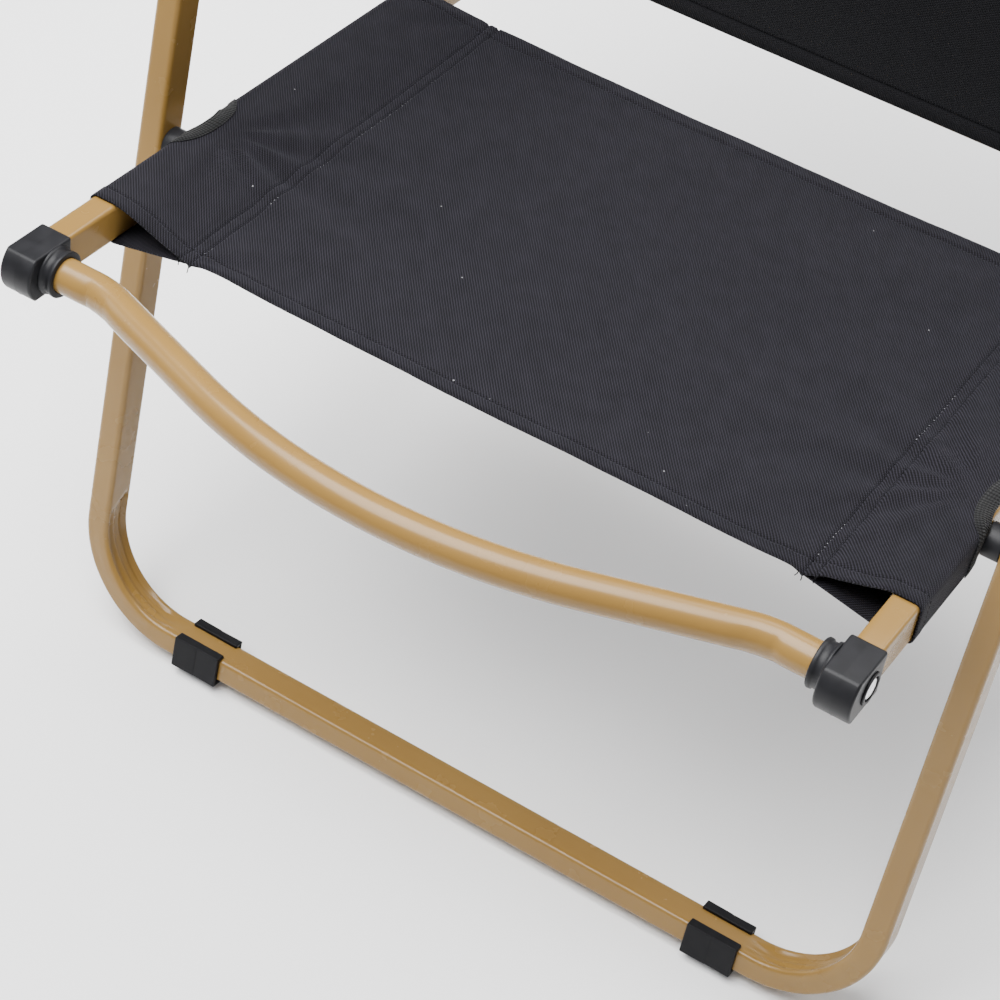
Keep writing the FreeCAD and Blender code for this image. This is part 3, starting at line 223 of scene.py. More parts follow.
def wood_group():
    """Straight-grained timber: growth bands, fine pores and streaks along Y."""
    tree, given, result = group("timber_grain", {"Vector": 0}, ["Height", "Tone", "Pore"])
    long_way = node(
        tree, "ShaderNodeMapping", {"Vector": given.outputs["Vector"], "Scale": (1.0, 0.06, 1.0)}
    ).outputs[0]
    bend = noise_at(tree, long_way, 30.0, 4.0)
    split = node(tree, "ShaderNodeSeparateXYZ", {"Vector": long_way})
    spread = maths(tree, "MULTIPLY_ADD", split.outputs["X"], 330.0, maths(tree, "MULTIPLY", bend, 30.0))
    lift = maths(tree, "MULTIPLY_ADD", split.outputs["Z"], 230.0, spread)
    band = maths(tree, "PINGPONG", lift, 1.0)
    fibre = noise_at(tree, long_way, 900.0, 4.0)
    pore = maths(tree, "GREATER_THAN", noise_at(tree, long_way, 1500.0, 1.0), 0.66)
    tree.links.new(maths(tree, "MULTIPLY_ADD", fibre, 0.6, maths(tree, "MULTIPLY", pore, -0.5)),
                   result.inputs["Height"])
    tree.links.new(maths(tree, "MULTIPLY_ADD", fibre, 0.75, maths(tree, "MULTIPLY", band, 0.28)),
                   result.inputs["Tone"])
    tree.links.new(pore, result.inputs["Pore"])
    return tree


COAT = coat_group()
GRAIN = grain_group()
TWILL = twill_group()
TAPE = tape_group()
TIMBER = wood_group()


def blank_material(name):
    """A material with its shader and the node tree to build on."""
    material = bpy.data.materials.new(name)
    material.use_nodes = True
    tree = material.node_tree
    shader = next(n for n in tree.nodes if n.type == "BSDF_PRINCIPLED")
    return material, tree, shader


def use_group(tree, made, coordinates, turn=None, **values):
    """Place a group in a material, on object or UV coordinates."""
    source = node(tree, "ShaderNodeTexCoord").outputs[coordinates]
    if turn:
        source = node(tree, "ShaderNodeMapping", {"Vector": source, "Rotation": turn}).outputs[0]
    placed = node(tree, "ShaderNodeGroup", node_tree=made)
    tree.links.new(source, placed.inputs["Vector"])
    for key, value in values.items():
        placed.inputs[key].default_value = value
    return placed


def ramp(tree, value, low, high, start=0.25, stop=0.85):
    """A colour between two, by a value."""
    made = node(tree, "ShaderNodeValToRGB", {"Fac": value})
    first, last = made.color_ramp.elements
    first.position, last.position = start, stop
    first.color, last.color = (*low, 1), (*high, 1)
    return made.outputs["Color"]


def mixed(tree, share, first, second):
    """Two colours mixed by a share."""
    inputs = {"Factor": share, 6: first, 7: second}
    return node(tree, "ShaderNodeMix", inputs, data_type="RGBA").outputs[2]


def roughness(tree, shader, value, low, high):
    """Roughness between two values, by a value from 0 to 1."""
    made = node(tree, "ShaderNodeMapRange", {"Value": value, "To Min": low, "To Max": high})
    tree.links.new(made.outputs[0], shader.inputs["Roughness"])


def bump(tree, shader, height, distance, strength=1.0):
    """A bump of a real depth in metres."""
    made = node(
        tree, "ShaderNodeBump", {"Height": height, "Distance": distance, "Strength": strength}
    )
    tree.links.new(made.outputs[0], shader.inputs["Normal"])


def set_values(shader, values):
    """Plain values on a shader's own inputs."""
    for key, value in values.items():
        shader.inputs[key].default_value = value


def paint_material():
    """Khaki powder coat, satin with a soft orange peel."""
    material, tree, shader = blank_material("khaki_powder_coat")
    coat = use_group(tree, COAT, "Object", Peel=620.0)
    colour = ramp(tree, coat.outputs["Tone"], (0.2, 0.112, 0.027), (0.226, 0.131, 0.034))
    tree.links.new(colour, shader.inputs["Base Color"])
    roughness(tree, shader, coat.outputs["Gloss"], 0.2, 0.32)
    bump(tree, shader, coat.outputs["Height"], 0.00005, 0.25)
    set_values(shader, {"Specular IOR Level": 0.3, "Coat Weight": 0.06, "Coat Roughness": 0.12})
    return material


def plastic_material(name, low, high, rough, grain, shine):
    """Black moulded plastic or rubber."""
    material, tree, shader = blank_material(name)
    placed = use_group(tree, GRAIN, "Object", Grain=grain)
    tree.links.new(ramp(tree, placed.outputs["Tone"], low, high), shader.inputs["Base Color"])
    roughness(tree, shader, placed.outputs["Tone"], rough, rough + 0.14)
    bump(tree, shader, placed.outputs["Height"], 0.00005, 0.6)
    set_values(shader, {"Specular IOR Level": shine})
    return material


TWILL_RIB = 1.35 * MM
TWILL_SLANT = -0.68
TAPE_RIB = 1.6 * MM


def cloth_material(name, low, high, sheen):
    """Black twill with a little sheen and stray lint."""
    material, tree, shader = blank_material(name)
    weave = use_group(tree, TWILL, "UV", Rib=TWILL_RIB, Slant=TWILL_SLANT)
    # The cloth's colour follows the weave's tone, so the rib valleys carry painted shade.
    base = ramp(tree, weave.outputs["Tone"], low, high, 0.42, 0.9)
    lint = mixed(tree, weave.outputs["Lint"], base, (0.22, 0.22, 0.23, 1))
    tree.links.new(lint, shader.inputs["Base Color"])
    roughness(tree, shader, weave.outputs["Tone"], 0.62, 0.85)
    bump(tree, shader, weave.outputs["Height"], 0.0005)
    set_values(shader, {"Sheen Weight": sheen, "Sheen Roughness": 0.4, "Specular IOR Level": 0.12})
    set_values(shader, {"Sheen Tint": (0.8, 0.8, 0.95, 1)})
    return material


def tape_material():
    """Charcoal woven binding tape."""
    material, tree, shader = blank_material("binding_tape")
    weave = use_group(tree, TAPE, "UV", Rib=TAPE_RIB)
    # The tape's colour is darker in the rib valleys: painted shade.
    low, high = (0.0012, 0.0012, 0.0014), (0.016, 0.0165, 0.017)
    colour = ramp(tree, weave.outputs["Tone"], low, high, 0.25, 1.0)
    tree.links.new(colour, shader.inputs["Base Color"])
    roughness(tree, shader, weave.outputs["Tone"], 0.6, 0.8)
    bump(tree, shader, weave.outputs["Height"], 0.0006)
    set_values(shader, {"Sheen Weight": 0.05, "Specular IOR Level": 0.15})
    return material


def thread_material(name, low, high):
    """Twisted sewing thread."""
    material, tree, shader = blank_material(name)
    placed = use_group(tree, GRAIN, "Object", Grain=3000.0)
    tree.links.new(ramp(tree, placed.outputs["Height"], low, high), shader.inputs["Base Color"])
    roughness(tree, shader, placed.outputs["Tone"], 0.5, 0.7)
    bump(tree, shader, placed.outputs["Height"], 0.0001)
    set_values(shader, {"Specular IOR Level": 0.06})
    return material


def steel_material(name, colour, rough):
    """Zinc-plated steel with fine handling marks."""
    material, tree, shader = blank_material(name)
    placed = use_group(tree, COAT, "Object", Peel=1500.0)
    high = tuple(min(1.0, channel * 1.12) for channel in colour)
    tree.links.new(ramp(tree, placed.outputs["Tone"], colour, high), shader.inputs["Base Color"])
    roughness(tree, shader, placed.outputs["Gloss"], rough, rough + 0.15)
    bump(tree, shader, placed.outputs["Height"], 0.00002, 0.4)
    set_values(shader, {"Metallic": 1.0})
    return material


def timber_material():
    """Oiled beech for the armrests, its grain along the board."""
    material, tree, shader = blank_material("oiled_beech")
    tilt = math.atan2(-BACK_RAIL.z, BACK_RAIL.y)
    grain = use_group(tree, TIMBER, "Object", turn=(tilt, 0, 0))
    colour = ramp(tree, grain.outputs["Tone"], (0.15, 0.078, 0.026), (0.31, 0.175, 0.066), 0.2, 0.95)
    pores = maths(tree, "MULTIPLY", grain.outputs["Pore"], 0.35)
    dark = mixed(tree, pores, colour, (0.08, 0.038, 0.014, 1))
    tree.links.new(dark, shader.inputs["Base Color"])
    roughness(tree, shader, grain.outputs["Tone"], 0.36, 0.52)
    bump(tree, shader, grain.outputs["Height"], 0.00012)
    return material


PAINT = paint_material()
PLASTIC = plastic_material(
    "moulded_black", (0.008, 0.008, 0.009), (0.014, 0.014, 0.016), 0.34, 2400.0, 0.17
)
RUBBER = plastic_material(
    "foot_rubber", (0.004, 0.004, 0.005), (0.009, 0.009, 0.01), 0.4, 1800.0, 0.12
)
SEAT_CLOTH = cloth_material("seat_twill", (0.0006, 0.0005, 0.001), (0.0195, 0.018, 0.0245), 0.042)
# The back is the seat's black twill made much darker: painted shade.
BACK_TWILL_SHADED = cloth_material("back_twill_painted_shade", (0.0005, 0.0005, 0.0008), (0.0045, 0.0045, 0.0062), 0.02)
BINDING = tape_material()
THREAD = thread_material("sewing_thread", (0.0003, 0.0003, 0.0004), (0.0016, 0.0016, 0.002))
# Pale thread colour for specks at needle holes: painted highlights.
STITCH_GLINT = thread_material("painted_stitch_glint", (0.2, 0.2, 0.21), (0.42, 0.42, 0.44))
STEEL = steel_material("bright_zinc", (0.72, 0.72, 0.74), 0.2)
BLACK_PIN = steel_material("black_zinc", (0.09, 0.09, 0.095), 0.35)
WOOD = timber_material()

# ------------------------------------------------------------------ mesh helpers


def smoothstep(low, high, value):
    """0 below low, 1 above high, and a smooth rise between."""
    share = min(1.0, max(0.0, (value - low) / (high - low)))
    return share * share * (3 - 2 * share)


def hill(value, middle, width):
    """A smooth bump of height 1 about a middle."""
    return math.exp(-(((value - middle) / width) ** 2))


def verts_of(geometry):
    """The vertices in a list of mesh elements."""
    return [item for item in geometry if isinstance(item, bmesh.types.BMVert)]


def edges_of(geometry):
    """The edges in a list of mesh elements."""
    return [item for item in geometry if isinstance(item, bmesh.types.BMEdge)]


def clean(bm):
    """Join doubles and turn every face outwards."""
    bmesh.ops.remove_doubles(bm, verts=bm.verts[:], dist=1e-6)
    bmesh.ops.recalc_face_normals(bm, faces=bm.faces[:])


def whole(bm):
    """Every vertex, edge and face."""
    return bm.verts[:] + bm.edges[:] + bm.faces[:]


def put(bm, place):
    """Move the whole mesh by a matrix."""
    bmesh.ops.transform(bm, matrix=place, verts=bm.verts[:])


def shift(bm, step):
    """Move the whole mesh by a step."""
    bmesh.ops.translate(bm, vec=step, verts=bm.verts[:])


def soften(bm, parts, radius, segments, affect="EDGES"):
    """Round off some edges or corners."""
    sizes = {"offset": radius, "segments": segments, "profile": 0.5}
    bmesh.ops.bevel(bm, geom=parts, affect=affect, material=-1, **sizes)


def push_out(bm, faces, step):
    """Extrude a region of faces by a step."""
    made = bmesh.ops.extrude_face_region(bm, geom=faces)["geom"]
    bmesh.ops.translate(bm, vec=step, verts=verts_of(made))
    return made


def cut_across(bm, places):
    """Add a loop of edges across X at each place."""
    for place in places:
        bmesh.ops.bisect_plane(bm, geom=whole(bm), plane_co=(place, 0, 0), plane_no=(1, 0, 0))


def mesh_from(name, bm):
    """A finished mesh."""
    mesh = bpy.data.meshes.new(name)
    bm.to_mesh(mesh)
    bm.free()
    return mesh


def show(name, data):
    """A new object in the scene."""
    made = bpy.data.objects.new(name, data)
    bpy.context.scene.collection.objects.link(made)
    return made


def make_piece(name, bm, material, body, nodes=()):
    """A finished mesh as a named piece that rides on a body and stands for CAD nodes."""
    mesh = mesh_from(name, bm)
    for face in mesh.polygons:
        face.use_smooth = True
    piece = show(name, mesh)
    mesh.materials.append(material)
    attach(piece, body)
    if nodes:
        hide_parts(*nodes)
    return piece


def even_shading(piece):
    """Keep flat faces looking flat between their rounded edges."""
    weighted = piece.modifiers.new("even_shading", "WEIGHTED_NORMAL")
    weighted.keep_sharp = True
    return piece


def give_wall(piece, thickness, offset=-1.0):
    """Give a surface its thickness."""
    wall = piece.modifiers.new("wall", "SOLIDIFY")
    wall.thickness = thickness
    wall.offset = offset
    wall.use_even_offset = True
    return piece


def both_ways(bm):
    """Add the mirror image across the chair's middle plane."""
    copy = bmesh.ops.duplicate(bm, geom=whole(bm))
    bmesh.ops.scale(bm, vec=(-1, 1, 1), verts=verts_of(copy["geom"]))
    bmesh.ops.recalc_face_normals(bm, faces=bm.faces[:])


def rounded_section(bm, wide, high, radius, side_cuts):
    """A rounded rectangle of edges in the XZ plane, with extra points along its sides."""
    made = bmesh.ops.create_grid(bm, x_segments=1, y_segments=1, size=0.5)
    corners = made["verts"]
    bmesh.ops.scale(bm, vec=(wide, high, 1), verts=corners)
    soften(bm, corners, radius, 4, "VERTICES")
    long_edges = [edge for edge in bm.edges if edge.calc_length() > 2 * radius]
    bmesh.ops.subdivide_edges(bm, edges=long_edges, cuts=side_cuts)
    bmesh.ops.rotate(bm, verts=bm.verts[:], cent=(0, 0, 0), matrix=Matrix.Rotation(math.pi / 2, 3, "X"))
    bmesh.ops.delete(bm, geom=bm.faces[:], context="FACES_ONLY")
    return bm.edges[:]


def draw_out(bm, ring, direction, steps):
    """Extrude a ring of edges along a direction by each step in turn."""
    for step in steps:
        geometry = bmesh.ops.extrude_edge_only(bm, edges=ring)["geom"]
        bmesh.ops.translate(bm, vec=direction * step, verts=verts_of(geometry))
        ring = edges_of(geometry)
    return ring


def turn_out(bm, ring, centre, angle, steps):
    """Spin a ring of edges about an upright axis through a centre."""
    corners = list(dict.fromkeys(vert for edge in ring for vert in edge.verts))
    made = bmesh.ops.spin(
        bm, geom=corners + ring, cent=centre, axis=(0, 0, 1), angle=angle, steps=steps
    )
    return edges_of(made["geom_last"])


def lathe(bm, profile):
    """Spin an outline of (radius, x) pairs about an axis that lies across the chair."""
    verts = [bm.verts.new((x, 0, radius)) for radius, x in profile]
    edges = [bm.edges.new(ends) for ends in zip(verts, verts[1:])]
    turn = {"cent": (0, 0, 0), "axis": ACROSS, "angle": 2 * math.pi}
    bmesh.ops.spin(bm, geom=verts + edges, steps=40, use_merge=True, **turn)


# ------------------------------------------------------------------ bent tube frames

CRUSH_START = -11 * MM
CRUSH_END = 103 * MM
CRUSH_DEEP = 2.5 * MM
FINE_RUN = 34 * MM


def crush_depth(along, side):
    """How far the inside of a bend is pressed in: a dish with long ridges along it."""
    lip = CRUSH_START + 0.75 * side
    starts = smoothstep(lip, lip + 6 * MM, along)
    narrow = 2.6 * MM * smoothstep(55 * MM, CRUSH_END, along)
    fades = 1 - smoothstep(CRUSH_END - 34 * MM, CRUSH_END, along)
    dish = 1 - smoothstep(6.1 * MM - narrow, 7.7 * MM - narrow, abs(side))
    wave = 0.5 * MM * math.sin(along / (13 * MM) + 0.6)
    ridges = 0.5 * hill(side, 1.4 * MM + wave, 1.3 * MM) + 0.3 * hill(side, -3.6 * MM + wave, 0.8 * MM)
    swell = 0.08 * math.sin(along / (6.5 * MM))
    return CRUSH_DEEP * starts * fades * dish * (1 - ridges + swell)


def crush_bends(bm, half):
    """Press the inner faces of both bends in, as a mandrel bender leaves them."""
    centre = Vector((half - BEND, BEND))
    for vert in bm.verts:
        side = math.copysign(1, vert.co.x)
        across, up = abs(vert.co.x), vert.co.y
        if up > BEND:
            along, inner, inward = BEND - up, half - across, Vector((-side, 0, 0))
        elif across < centre.x:
            along, inner = BEND * math.pi / 2 + centre.x - across, up
            inward = Vector((0, 1, 0))
        else:
            arm = Vector((across, up)) - centre
            along, inner = BEND * math.atan2(-arm.y, arm.x), BEND - arm.length
            arm.normalize()
            inward = Vector((-arm.x * side, -arm.y, 0))
        if not CRUSH_START - 8 * MM < along < CRUSH_END:
            continue
        near = smoothstep(LEG_WIDE * 0.28, LEG_WIDE * 0.46, inner)
        vert.co -= inward * crush_depth(along, vert.co.z) * near
        pressed = smoothstep(0, 20 * MM, along) * (1 - smoothstep(75 * MM, 96 * MM, along))
        belly = hill(inner, 2.5 * MM, 4 * MM)
        swell = math.copysign(0.45 * MM, vert.co.z) * min(1, abs(vert.co.z) / (9 * MM))
        vert.co.z += swell * belly * pressed
        outer = smoothstep(LEG_WIDE * 0.3, LEG_WIDE * 0.5, -inner)
        flat = 0.4 * MM * (1 - (vert.co.z / (LEG_DEEP / 2)) ** 2)
        vert.co += inward * max(0, flat) * outer * pressed


def bent_frame(name, half, top, place, body, node_name):
    """A U of rectangular tube: two legs, two bends with pressed-in insides, and a bar."""
    bm = bmesh.new()
    ring = rounded_section(bm, LEG_WIDE, LEG_DEEP, TUBE_ROUND, 11)
    shift(bm, (-half, top, 0))
    down, right = Vector((0, -1, 0)), Vector((1, 0, 0))
    fine = [FINE_RUN / 14] * 14
    ring = draw_out(bm, ring, down, [(top - BEND - FINE_RUN) / 4] * 4 + fine)
    ring = turn_out(bm, ring, (-half + BEND, BEND, 0), math.pi / 2, 40)
    bar = 2 * (half - BEND - FINE_RUN)
    ring = draw_out(bm, ring, right, fine + [bar / 4] * 4 + fine)
    ring = turn_out(bm, ring, (half - BEND, BEND, 0), math.pi / 2, 40)
    draw_out(bm, ring, -down, fine + [(top - BEND - FINE_RUN) / 4] * 4)
    clean(bm)
    crush_bends(bm, half)
    put(bm, place)
    piece = make_piece(name, bm, PAINT, body, [node_name])
    return even_shading(give_wall(piece, TUBE_WALL))


LEG_TOP = SEAT_PIN_UP + ARM_UP + LEG_END
bent_frame("front_leg_tube", LEG_HALF, LEG_TOP, LEG, "front_frame", "front_leg_frame")
bent_frame("rear_leg_tube", REAR_HALF, REAR_LEG_LONG + REAR_END, REAR, "rear_frame", "rear_leg_frame")
bent_frame("back_tube", LEG_HALF, BACK_LONG + UPRIGHT_END, BACK_TOP, "backrest", "backrest_frame")


def side_rails():
    """The two straight rails that the seat is slung on."""
    for side, word in ((1, "left"), (-1, "right")):
        bm = bmesh.new()
        ring = rounded_section(bm, LEG_WIDE, RAIL_HIGH, TUBE_ROUND, 5)
        start = -CROSS_BACK - RAIL_END
        length = RAIL_SPAN + RAIL_END - start
        shift(bm, (side * RAIL_HALF, start, 0))
        draw_out(bm, ring, Vector((0, 1, 0)), [length / 12] * 12)
        clean(bm)
        put(bm, SEAT)
        rail = make_piece("rail_" + word, bm, PAINT, "seat_frame", ["seat_rail_" + word])
        even_shading(give_wall(rail, TUBE_WALL))


side_rails()

# ------------------------------------------------------------------ front cross tube

CROSS_RADIUS = 9.5 * MM
CROSS_HALF = RAIL_HALF - LEG_WIDE / 2 - FIT
CROSS_BOW = 48 * MM
CROSS_ANGLE = math.radians(20)
CROSS_CORNER = RAIL_HALF - 43 * MM
CROSS_BEND = 60 * MM
CROSS_PLACE = SEAT @ Matrix.Translation((0, -CROSS_BACK, 0))


def round_ring(bm, start):
    """The first ring of a round tube that runs across the chair."""
    bmesh.ops.create_circle(bm, cap_ends=False, radius=CROSS_RADIUS, segments=48)
    put(bm, Matrix.Rotation(math.pi / 2, 4, "Y"))
    shift(bm, (start, 0, 0))
    return bm.edges[:]


def cross_tube():
    """The round tube bowed forward, with a faint flat where each end bend was pulled."""
    bow = (CROSS_CORNER * math.tan(CROSS_ANGLE) - CROSS_BOW) / (1 / math.cos(CROSS_ANGLE) - 1)
    start = CROSS_CORNER + CROSS_BEND * math.tan(CROSS_ANGLE / 2)
    bm = bmesh.new()
    ring = round_ring(bm, -CROSS_HALF)
    ring = draw_out(bm, ring, ACROSS, [(CROSS_HALF - start) / 6] * 6)
    ring = turn_out(bm, ring, (-start, -CROSS_BEND, 0), -CROSS_ANGLE, 14)
    slope_x = start - CROSS_BEND * math.sin(CROSS_ANGLE) - bow * math.sin(CROSS_ANGLE)
    slope = slope_x / math.cos(CROSS_ANGLE)
    heading = Vector((math.cos(CROSS_ANGLE), -math.sin(CROSS_ANGLE), 0))
    ring = draw_out(bm, ring, heading, [slope / 12] * 12)
    ring = turn_out(bm, ring, (0, bow - CROSS_BOW, 0), 2 * CROSS_ANGLE, 60)
    heading.y = -heading.y
    ring = draw_out(bm, ring, heading, [slope / 12] * 12)
    ring = turn_out(bm, ring, (start, -CROSS_BEND, 0), -CROSS_ANGLE, 14)
    draw_out(bm, ring, ACROSS, [(CROSS_HALF - start) / 6] * 6)
    clean(bm)
    for vert in bm.verts:
        away = abs(abs(vert.co.x) - CROSS_CORNER)
        line = max(-CROSS_BOW, -max(0.0, start - abs(vert.co.x)) * math.tan(CROSS_ANGLE))
        inside = smoothstep(0, CROSS_RADIUS, line - vert.co.y)
        dent = 0.7 * MM * hill(away, 0, 9 * MM) + 0.55 * MM * hill(away, 7 * MM, 2.2 * MM)
        vert.co.y += dent * inside
        vert.co.z *= 1 + 0.025 * hill(away, 0, 13 * MM)
    put(bm, CROSS_PLACE)
    tube = make_piece("cross_tube", bm, PAINT, "seat_frame", ["front_cross_tube"])
    give_wall(tube, TUBE_WALL)


cross_tube()

# ------------------------------------------------------------------ end connectors

CONNECTOR_LONG = 27 * MM
CONNECTOR_WIDE = 19 * MM
CONNECTOR_HIGH = 25.6 * MM
NOSE = 6 * MM
SOCKET_DEEP = 23 * MM
SOCKET_WALL = 1.75 * MM
CONNECTOR_EDGE = 1.4 * MM
PARTING_HALF = 0.35 * MM
PARTING_PROUD = 0.22 * MM
RING_RADIUS = 8.5 * MM
DISH_RADIUS = 6.5 * MM


def connector_body(bm):
    """The moulded block: flat top, bowed nose, a socket for the rail and a parting line."""
    back, top = CONNECTOR_LONG / 2, CONNECTOR_HIGH / 2
    curve = (top**2 + NOSE**2) / (2 * NOSE)
    half_turn = math.asin(top / curve)
    points = [Vector((0, back, top)), Vector((0, -back, top))]
    arc_steps = 12
    for index in range(1, arc_steps):
        turn = half_turn * (1 - 2 * index / arc_steps)
        reach = -back - NOSE + curve - curve * math.cos(turn)
        points.append(Vector((0, reach, curve * math.sin(turn))))
    points += [Vector((0, -back, -top)), Vector((0, back, -top))]
    outline = bm.faces.new([bm.verts.new(point) for point in points])
    shift(bm, (-CONNECTOR_WIDE / 2, 0, 0))
    push_out(bm, [outline], (CONNECTOR_WIDE, 0, 0))
    bmesh.ops.recalc_face_normals(bm, faces=bm.faces[:])
    rear = [face for face in bm.faces if face.normal.y > 0.99]
    bmesh.ops.inset_region(bm, faces=rear, thickness=SOCKET_WALL, use_even_offset=True)
    mouth = [face for face in bm.faces if face.normal.y > 0.99 and face.calc_area() > 3e-4]
    push_out(bm, mouth, (0, -SOCKET_DEEP, 0))
    bmesh.ops.delete(bm, geom=mouth, context="FACES_ONLY")
    sharp = [
        edge
        for edge in bm.edges
        if len(edge.link_faces) == 2
        and edge.calc_face_angle() > math.radians(50)
        and not all(abs(v.co.x) < 8.2 * MM and abs(v.co.z) < 11.6 * MM for v in edge.verts)
    ]
    soften(bm, sharp, CONNECTOR_EDGE, 4)
    cut_across(bm, (-PARTING_HALF, 0, PARTING_HALF))
    for vert in bm.verts:
        outer = abs(vert.co.z) > top - 0.1 * MM or vert.co.y < -back - 0.1 * MM
        if abs(vert.co.x) < 0.05 * MM and outer:
            vert.co += Vector((0, vert.co.y * 0.3, vert.co.z)).normalized() * PARTING_PROUD


def end_connectors():
    """A connector on each rail's front end, with its collar and its rivet ring."""
    for side, word in ((1, "left"), (-1, "right")):
        bm = bmesh.new()
        connector_body(bm)
        inner = -CONNECTOR_WIDE / 2
        bore = CROSS_RADIUS + FIT
        collar = [
            (bore, inner + 0.5 * MM),
            (13.1 * MM, inner + 0.5 * MM),
            (13.2 * MM, inner - 0.4 * MM),
            (12.9 * MM, inner - 1.6 * MM),
            (11.9 * MM, inner - 1.9 * MM),
            (11.8 * MM, inner - 4.9 * MM),
            (12.6 * MM, inner - 5.2 * MM),
            (12.7 * MM, inner - 6.9 * MM),
            (12.2 * MM, inner - 7.5 * MM),
            (bore + 0.4 * MM, inner - 7.5 * MM),
            (bore, inner - 7.1 * MM),
            (bore, inner + 0.5 * MM),
        ]
        lathe(bm, collar)
        outer = CONNECTOR_WIDE / 2
        ring = [
            (RING_RADIUS, outer - 0.4 * MM),
            (RING_RADIUS, outer + 0.8 * MM),
            (RING_RADIUS - 0.4 * MM, outer + 1.2 * MM),
            (DISH_RADIUS + 0.3 * MM, outer + 1.2 * MM),
            (DISH_RADIUS, outer + 0.9 * MM),
            (DISH_RADIUS, outer - 0.4 * MM),
            (RING_RADIUS, outer - 0.4 * MM),
        ]
        lathe(bm, ring)
        bmesh.ops.remove_doubles(bm, verts=bm.verts[:], dist=1e-6)
        bmesh.ops.scale(bm, vec=(side, 1, 1), verts=bm.verts[:])
        bmesh.ops.recalc_face_normals(bm, faces=bm.faces[:])
        place = SEAT @ Matrix.Translation((side * RAIL_HALF, -CROSS_BACK, 0))
        put(bm, place)
        node_name = "front_connector_" + word
        even_shading(
            make_piece("connector_" + word, bm, PLASTIC, "seat_frame", [node_name])
        )


end_connectors()

# ------------------------------------------------------------------ foot clips

CLIP_LONG = 31 * MM
CLIP_WALL = 2.5 * MM
CLIP_LIP = 4 * MM
CLIP_SOLE = 3.4 * MM
CLIP_LINE = 0.5 * MM


def foot_clip(name, place, body, node_name):
    """A clip-on channel: sole and two walls whose lips fold over the bar's top edges."""
    half_y = LEG_WIDE / 2 + FIT
    half_z = LEG_DEEP / 2 + FIT
    outer_y, outer_z = half_y + CLIP_WALL * 0.8, half_z + CLIP_WALL
    low = -half_y - CLIP_SOLE
    outline = [
        (half_y, half_z - CLIP_LIP),
        (half_y, half_z),
        (-half_y, half_z),
        (-half_y, -half_z),
        (half_y, -half_z),
        (half_y, -half_z + CLIP_LIP),
        (outer_y, -half_z + CLIP_LIP),
        (outer_y, -outer_z),
        (low, -outer_z),
        (low, outer_z),
        (outer_y, outer_z),
        (outer_y, half_z - CLIP_LIP),
    ]
    bm = bmesh.new()
    section = bm.faces.new([bm.verts.new((-CLIP_LONG / 2, y, z)) for y, z in outline])
    push_out(bm, [section], (CLIP_LONG, 0, 0))
    bmesh.ops.recalc_face_normals(bm, faces=bm.faces[:])
    outside = [
        edge
        for edge in bm.edges
        if any(abs(v.co.z) > half_z + 0.01 * MM or v.co.y > half_y + 0.01 * MM for v in edge.verts)
        and all(abs(v.co.z) > half_z - CLIP_LIP - 0.01 * MM for v in edge.verts)
    ]
    soften(bm, outside, SOFT_EDGE, 3)
    cut_across(bm, (-CLIP_LINE, 0, CLIP_LINE))
    for vert in bm.verts:
        if abs(vert.co.x) < 0.55 * MM and abs(vert.co.z) > outer_z - 0.1 * MM:
            vert.co.z -= math.copysign(0.45 * MM, vert.co.z) * (1 - abs(vert.co.x) / CLIP_LINE)
        if vert.co.x > 0.3 * MM and abs(vert.co.z) > outer_z - 1 * MM:
            vert.co.z -= math.copysign(0.3 * MM, vert.co.z)
        flare = smoothstep(CLIP_LONG * 0.36, CLIP_LONG * 0.5, abs(vert.co.x))
        if abs(vert.co.z) > outer_z - 1 * MM:
            vert.co.z += math.copysign(0.3 * MM * flare, vert.co.z)
    put(bm, place)
    cut = bmesh.ops.bisect_plane(
        bm, geom=whole(bm), plane_co=(0, 0, 0), plane_no=(0, 0, -1), clear_outer=True
    )
    rims = [edge for edge in edges_of(cut["geom_cut"]) if edge.is_valid]
    bmesh.ops.holes_fill(bm, edges=rims, sides=0)
    bmesh.ops.recalc_face_normals(bm, faces=bm.faces[:])
    even_shading(make_piece(name, bm, RUBBER, body, [node_name]))


for side, word in ((1, "left"), (-1, "right")):
    for legs, place, half, body in (
        ("front", LEG, LEG_HALF, "front_frame"),
        ("rear", REAR, REAR_HALF, "rear_frame"),
    ):
        spot = place @ Matrix.Translation((side * (half - CLIP_INSET), 0, 0))
        foot_clip(legs + "_clip_" + word, spot, body, legs + "_foot_clip_" + word)

# ------------------------------------------------------------------ pins, spacers, rivets, caps

PIN_RADIUS = 3 * MM
PIN_HEAD = 6.5 * MM
HEAD_THICK = 1.6 * MM
GAP = 10.5 * MM
WASHER = 2 * MM
PLATE = 2.5 * MM
RAIL_IN = RAIL_HALF - LEG_WIDE / 2
RAIL_OUT = RAIL_HALF + LEG_WIDE / 2
LEG_IN = LEG_HALF - LEG_WIDE / 2
LEG_OUT = LEG_HALF + LEG_WIDE / 2
PLATE_OUT = LEG_OUT + WASHER + PLATE


def head_profile(face, outward):
    """Half of a rivet head: a low dome with a rounded rim, standing on a face."""
    rises = [(1.0, 0.0), (1.0, 0.35), (0.9, 0.6), (0.7, 0.82), (0.37, 0.96), (0, 1.0)]
    return [(PIN_HEAD * radius, face + outward * rise * HEAD_THICK) for radius, rise in rises]


def turned_pair(name, node_name, body, place, profile, material):
    """A turned piece on each side of the chair."""
    bm = bmesh.new()
    lathe(bm, profile)
    clean(bm)
    both_ways(bm)
    put(bm, place)
    even_shading(make_piece(name, bm, material, body, [node_name]))


def pin_pair(name, node_name, body, pin, inner, outer, outer_head=True):
    """A pair of pivot pins with domed heads."""
    profile = head_profile(inner, -1)[::-1] + [(PIN_RADIUS, inner), (PIN_RADIUS, outer)]
    profile += head_profile(outer, 1) if outer_head else [(0, outer)]
    place = side_frame(pin, BACK_RAIL)
    turned_pair(name, node_name, body, place, profile, BLACK_PIN)


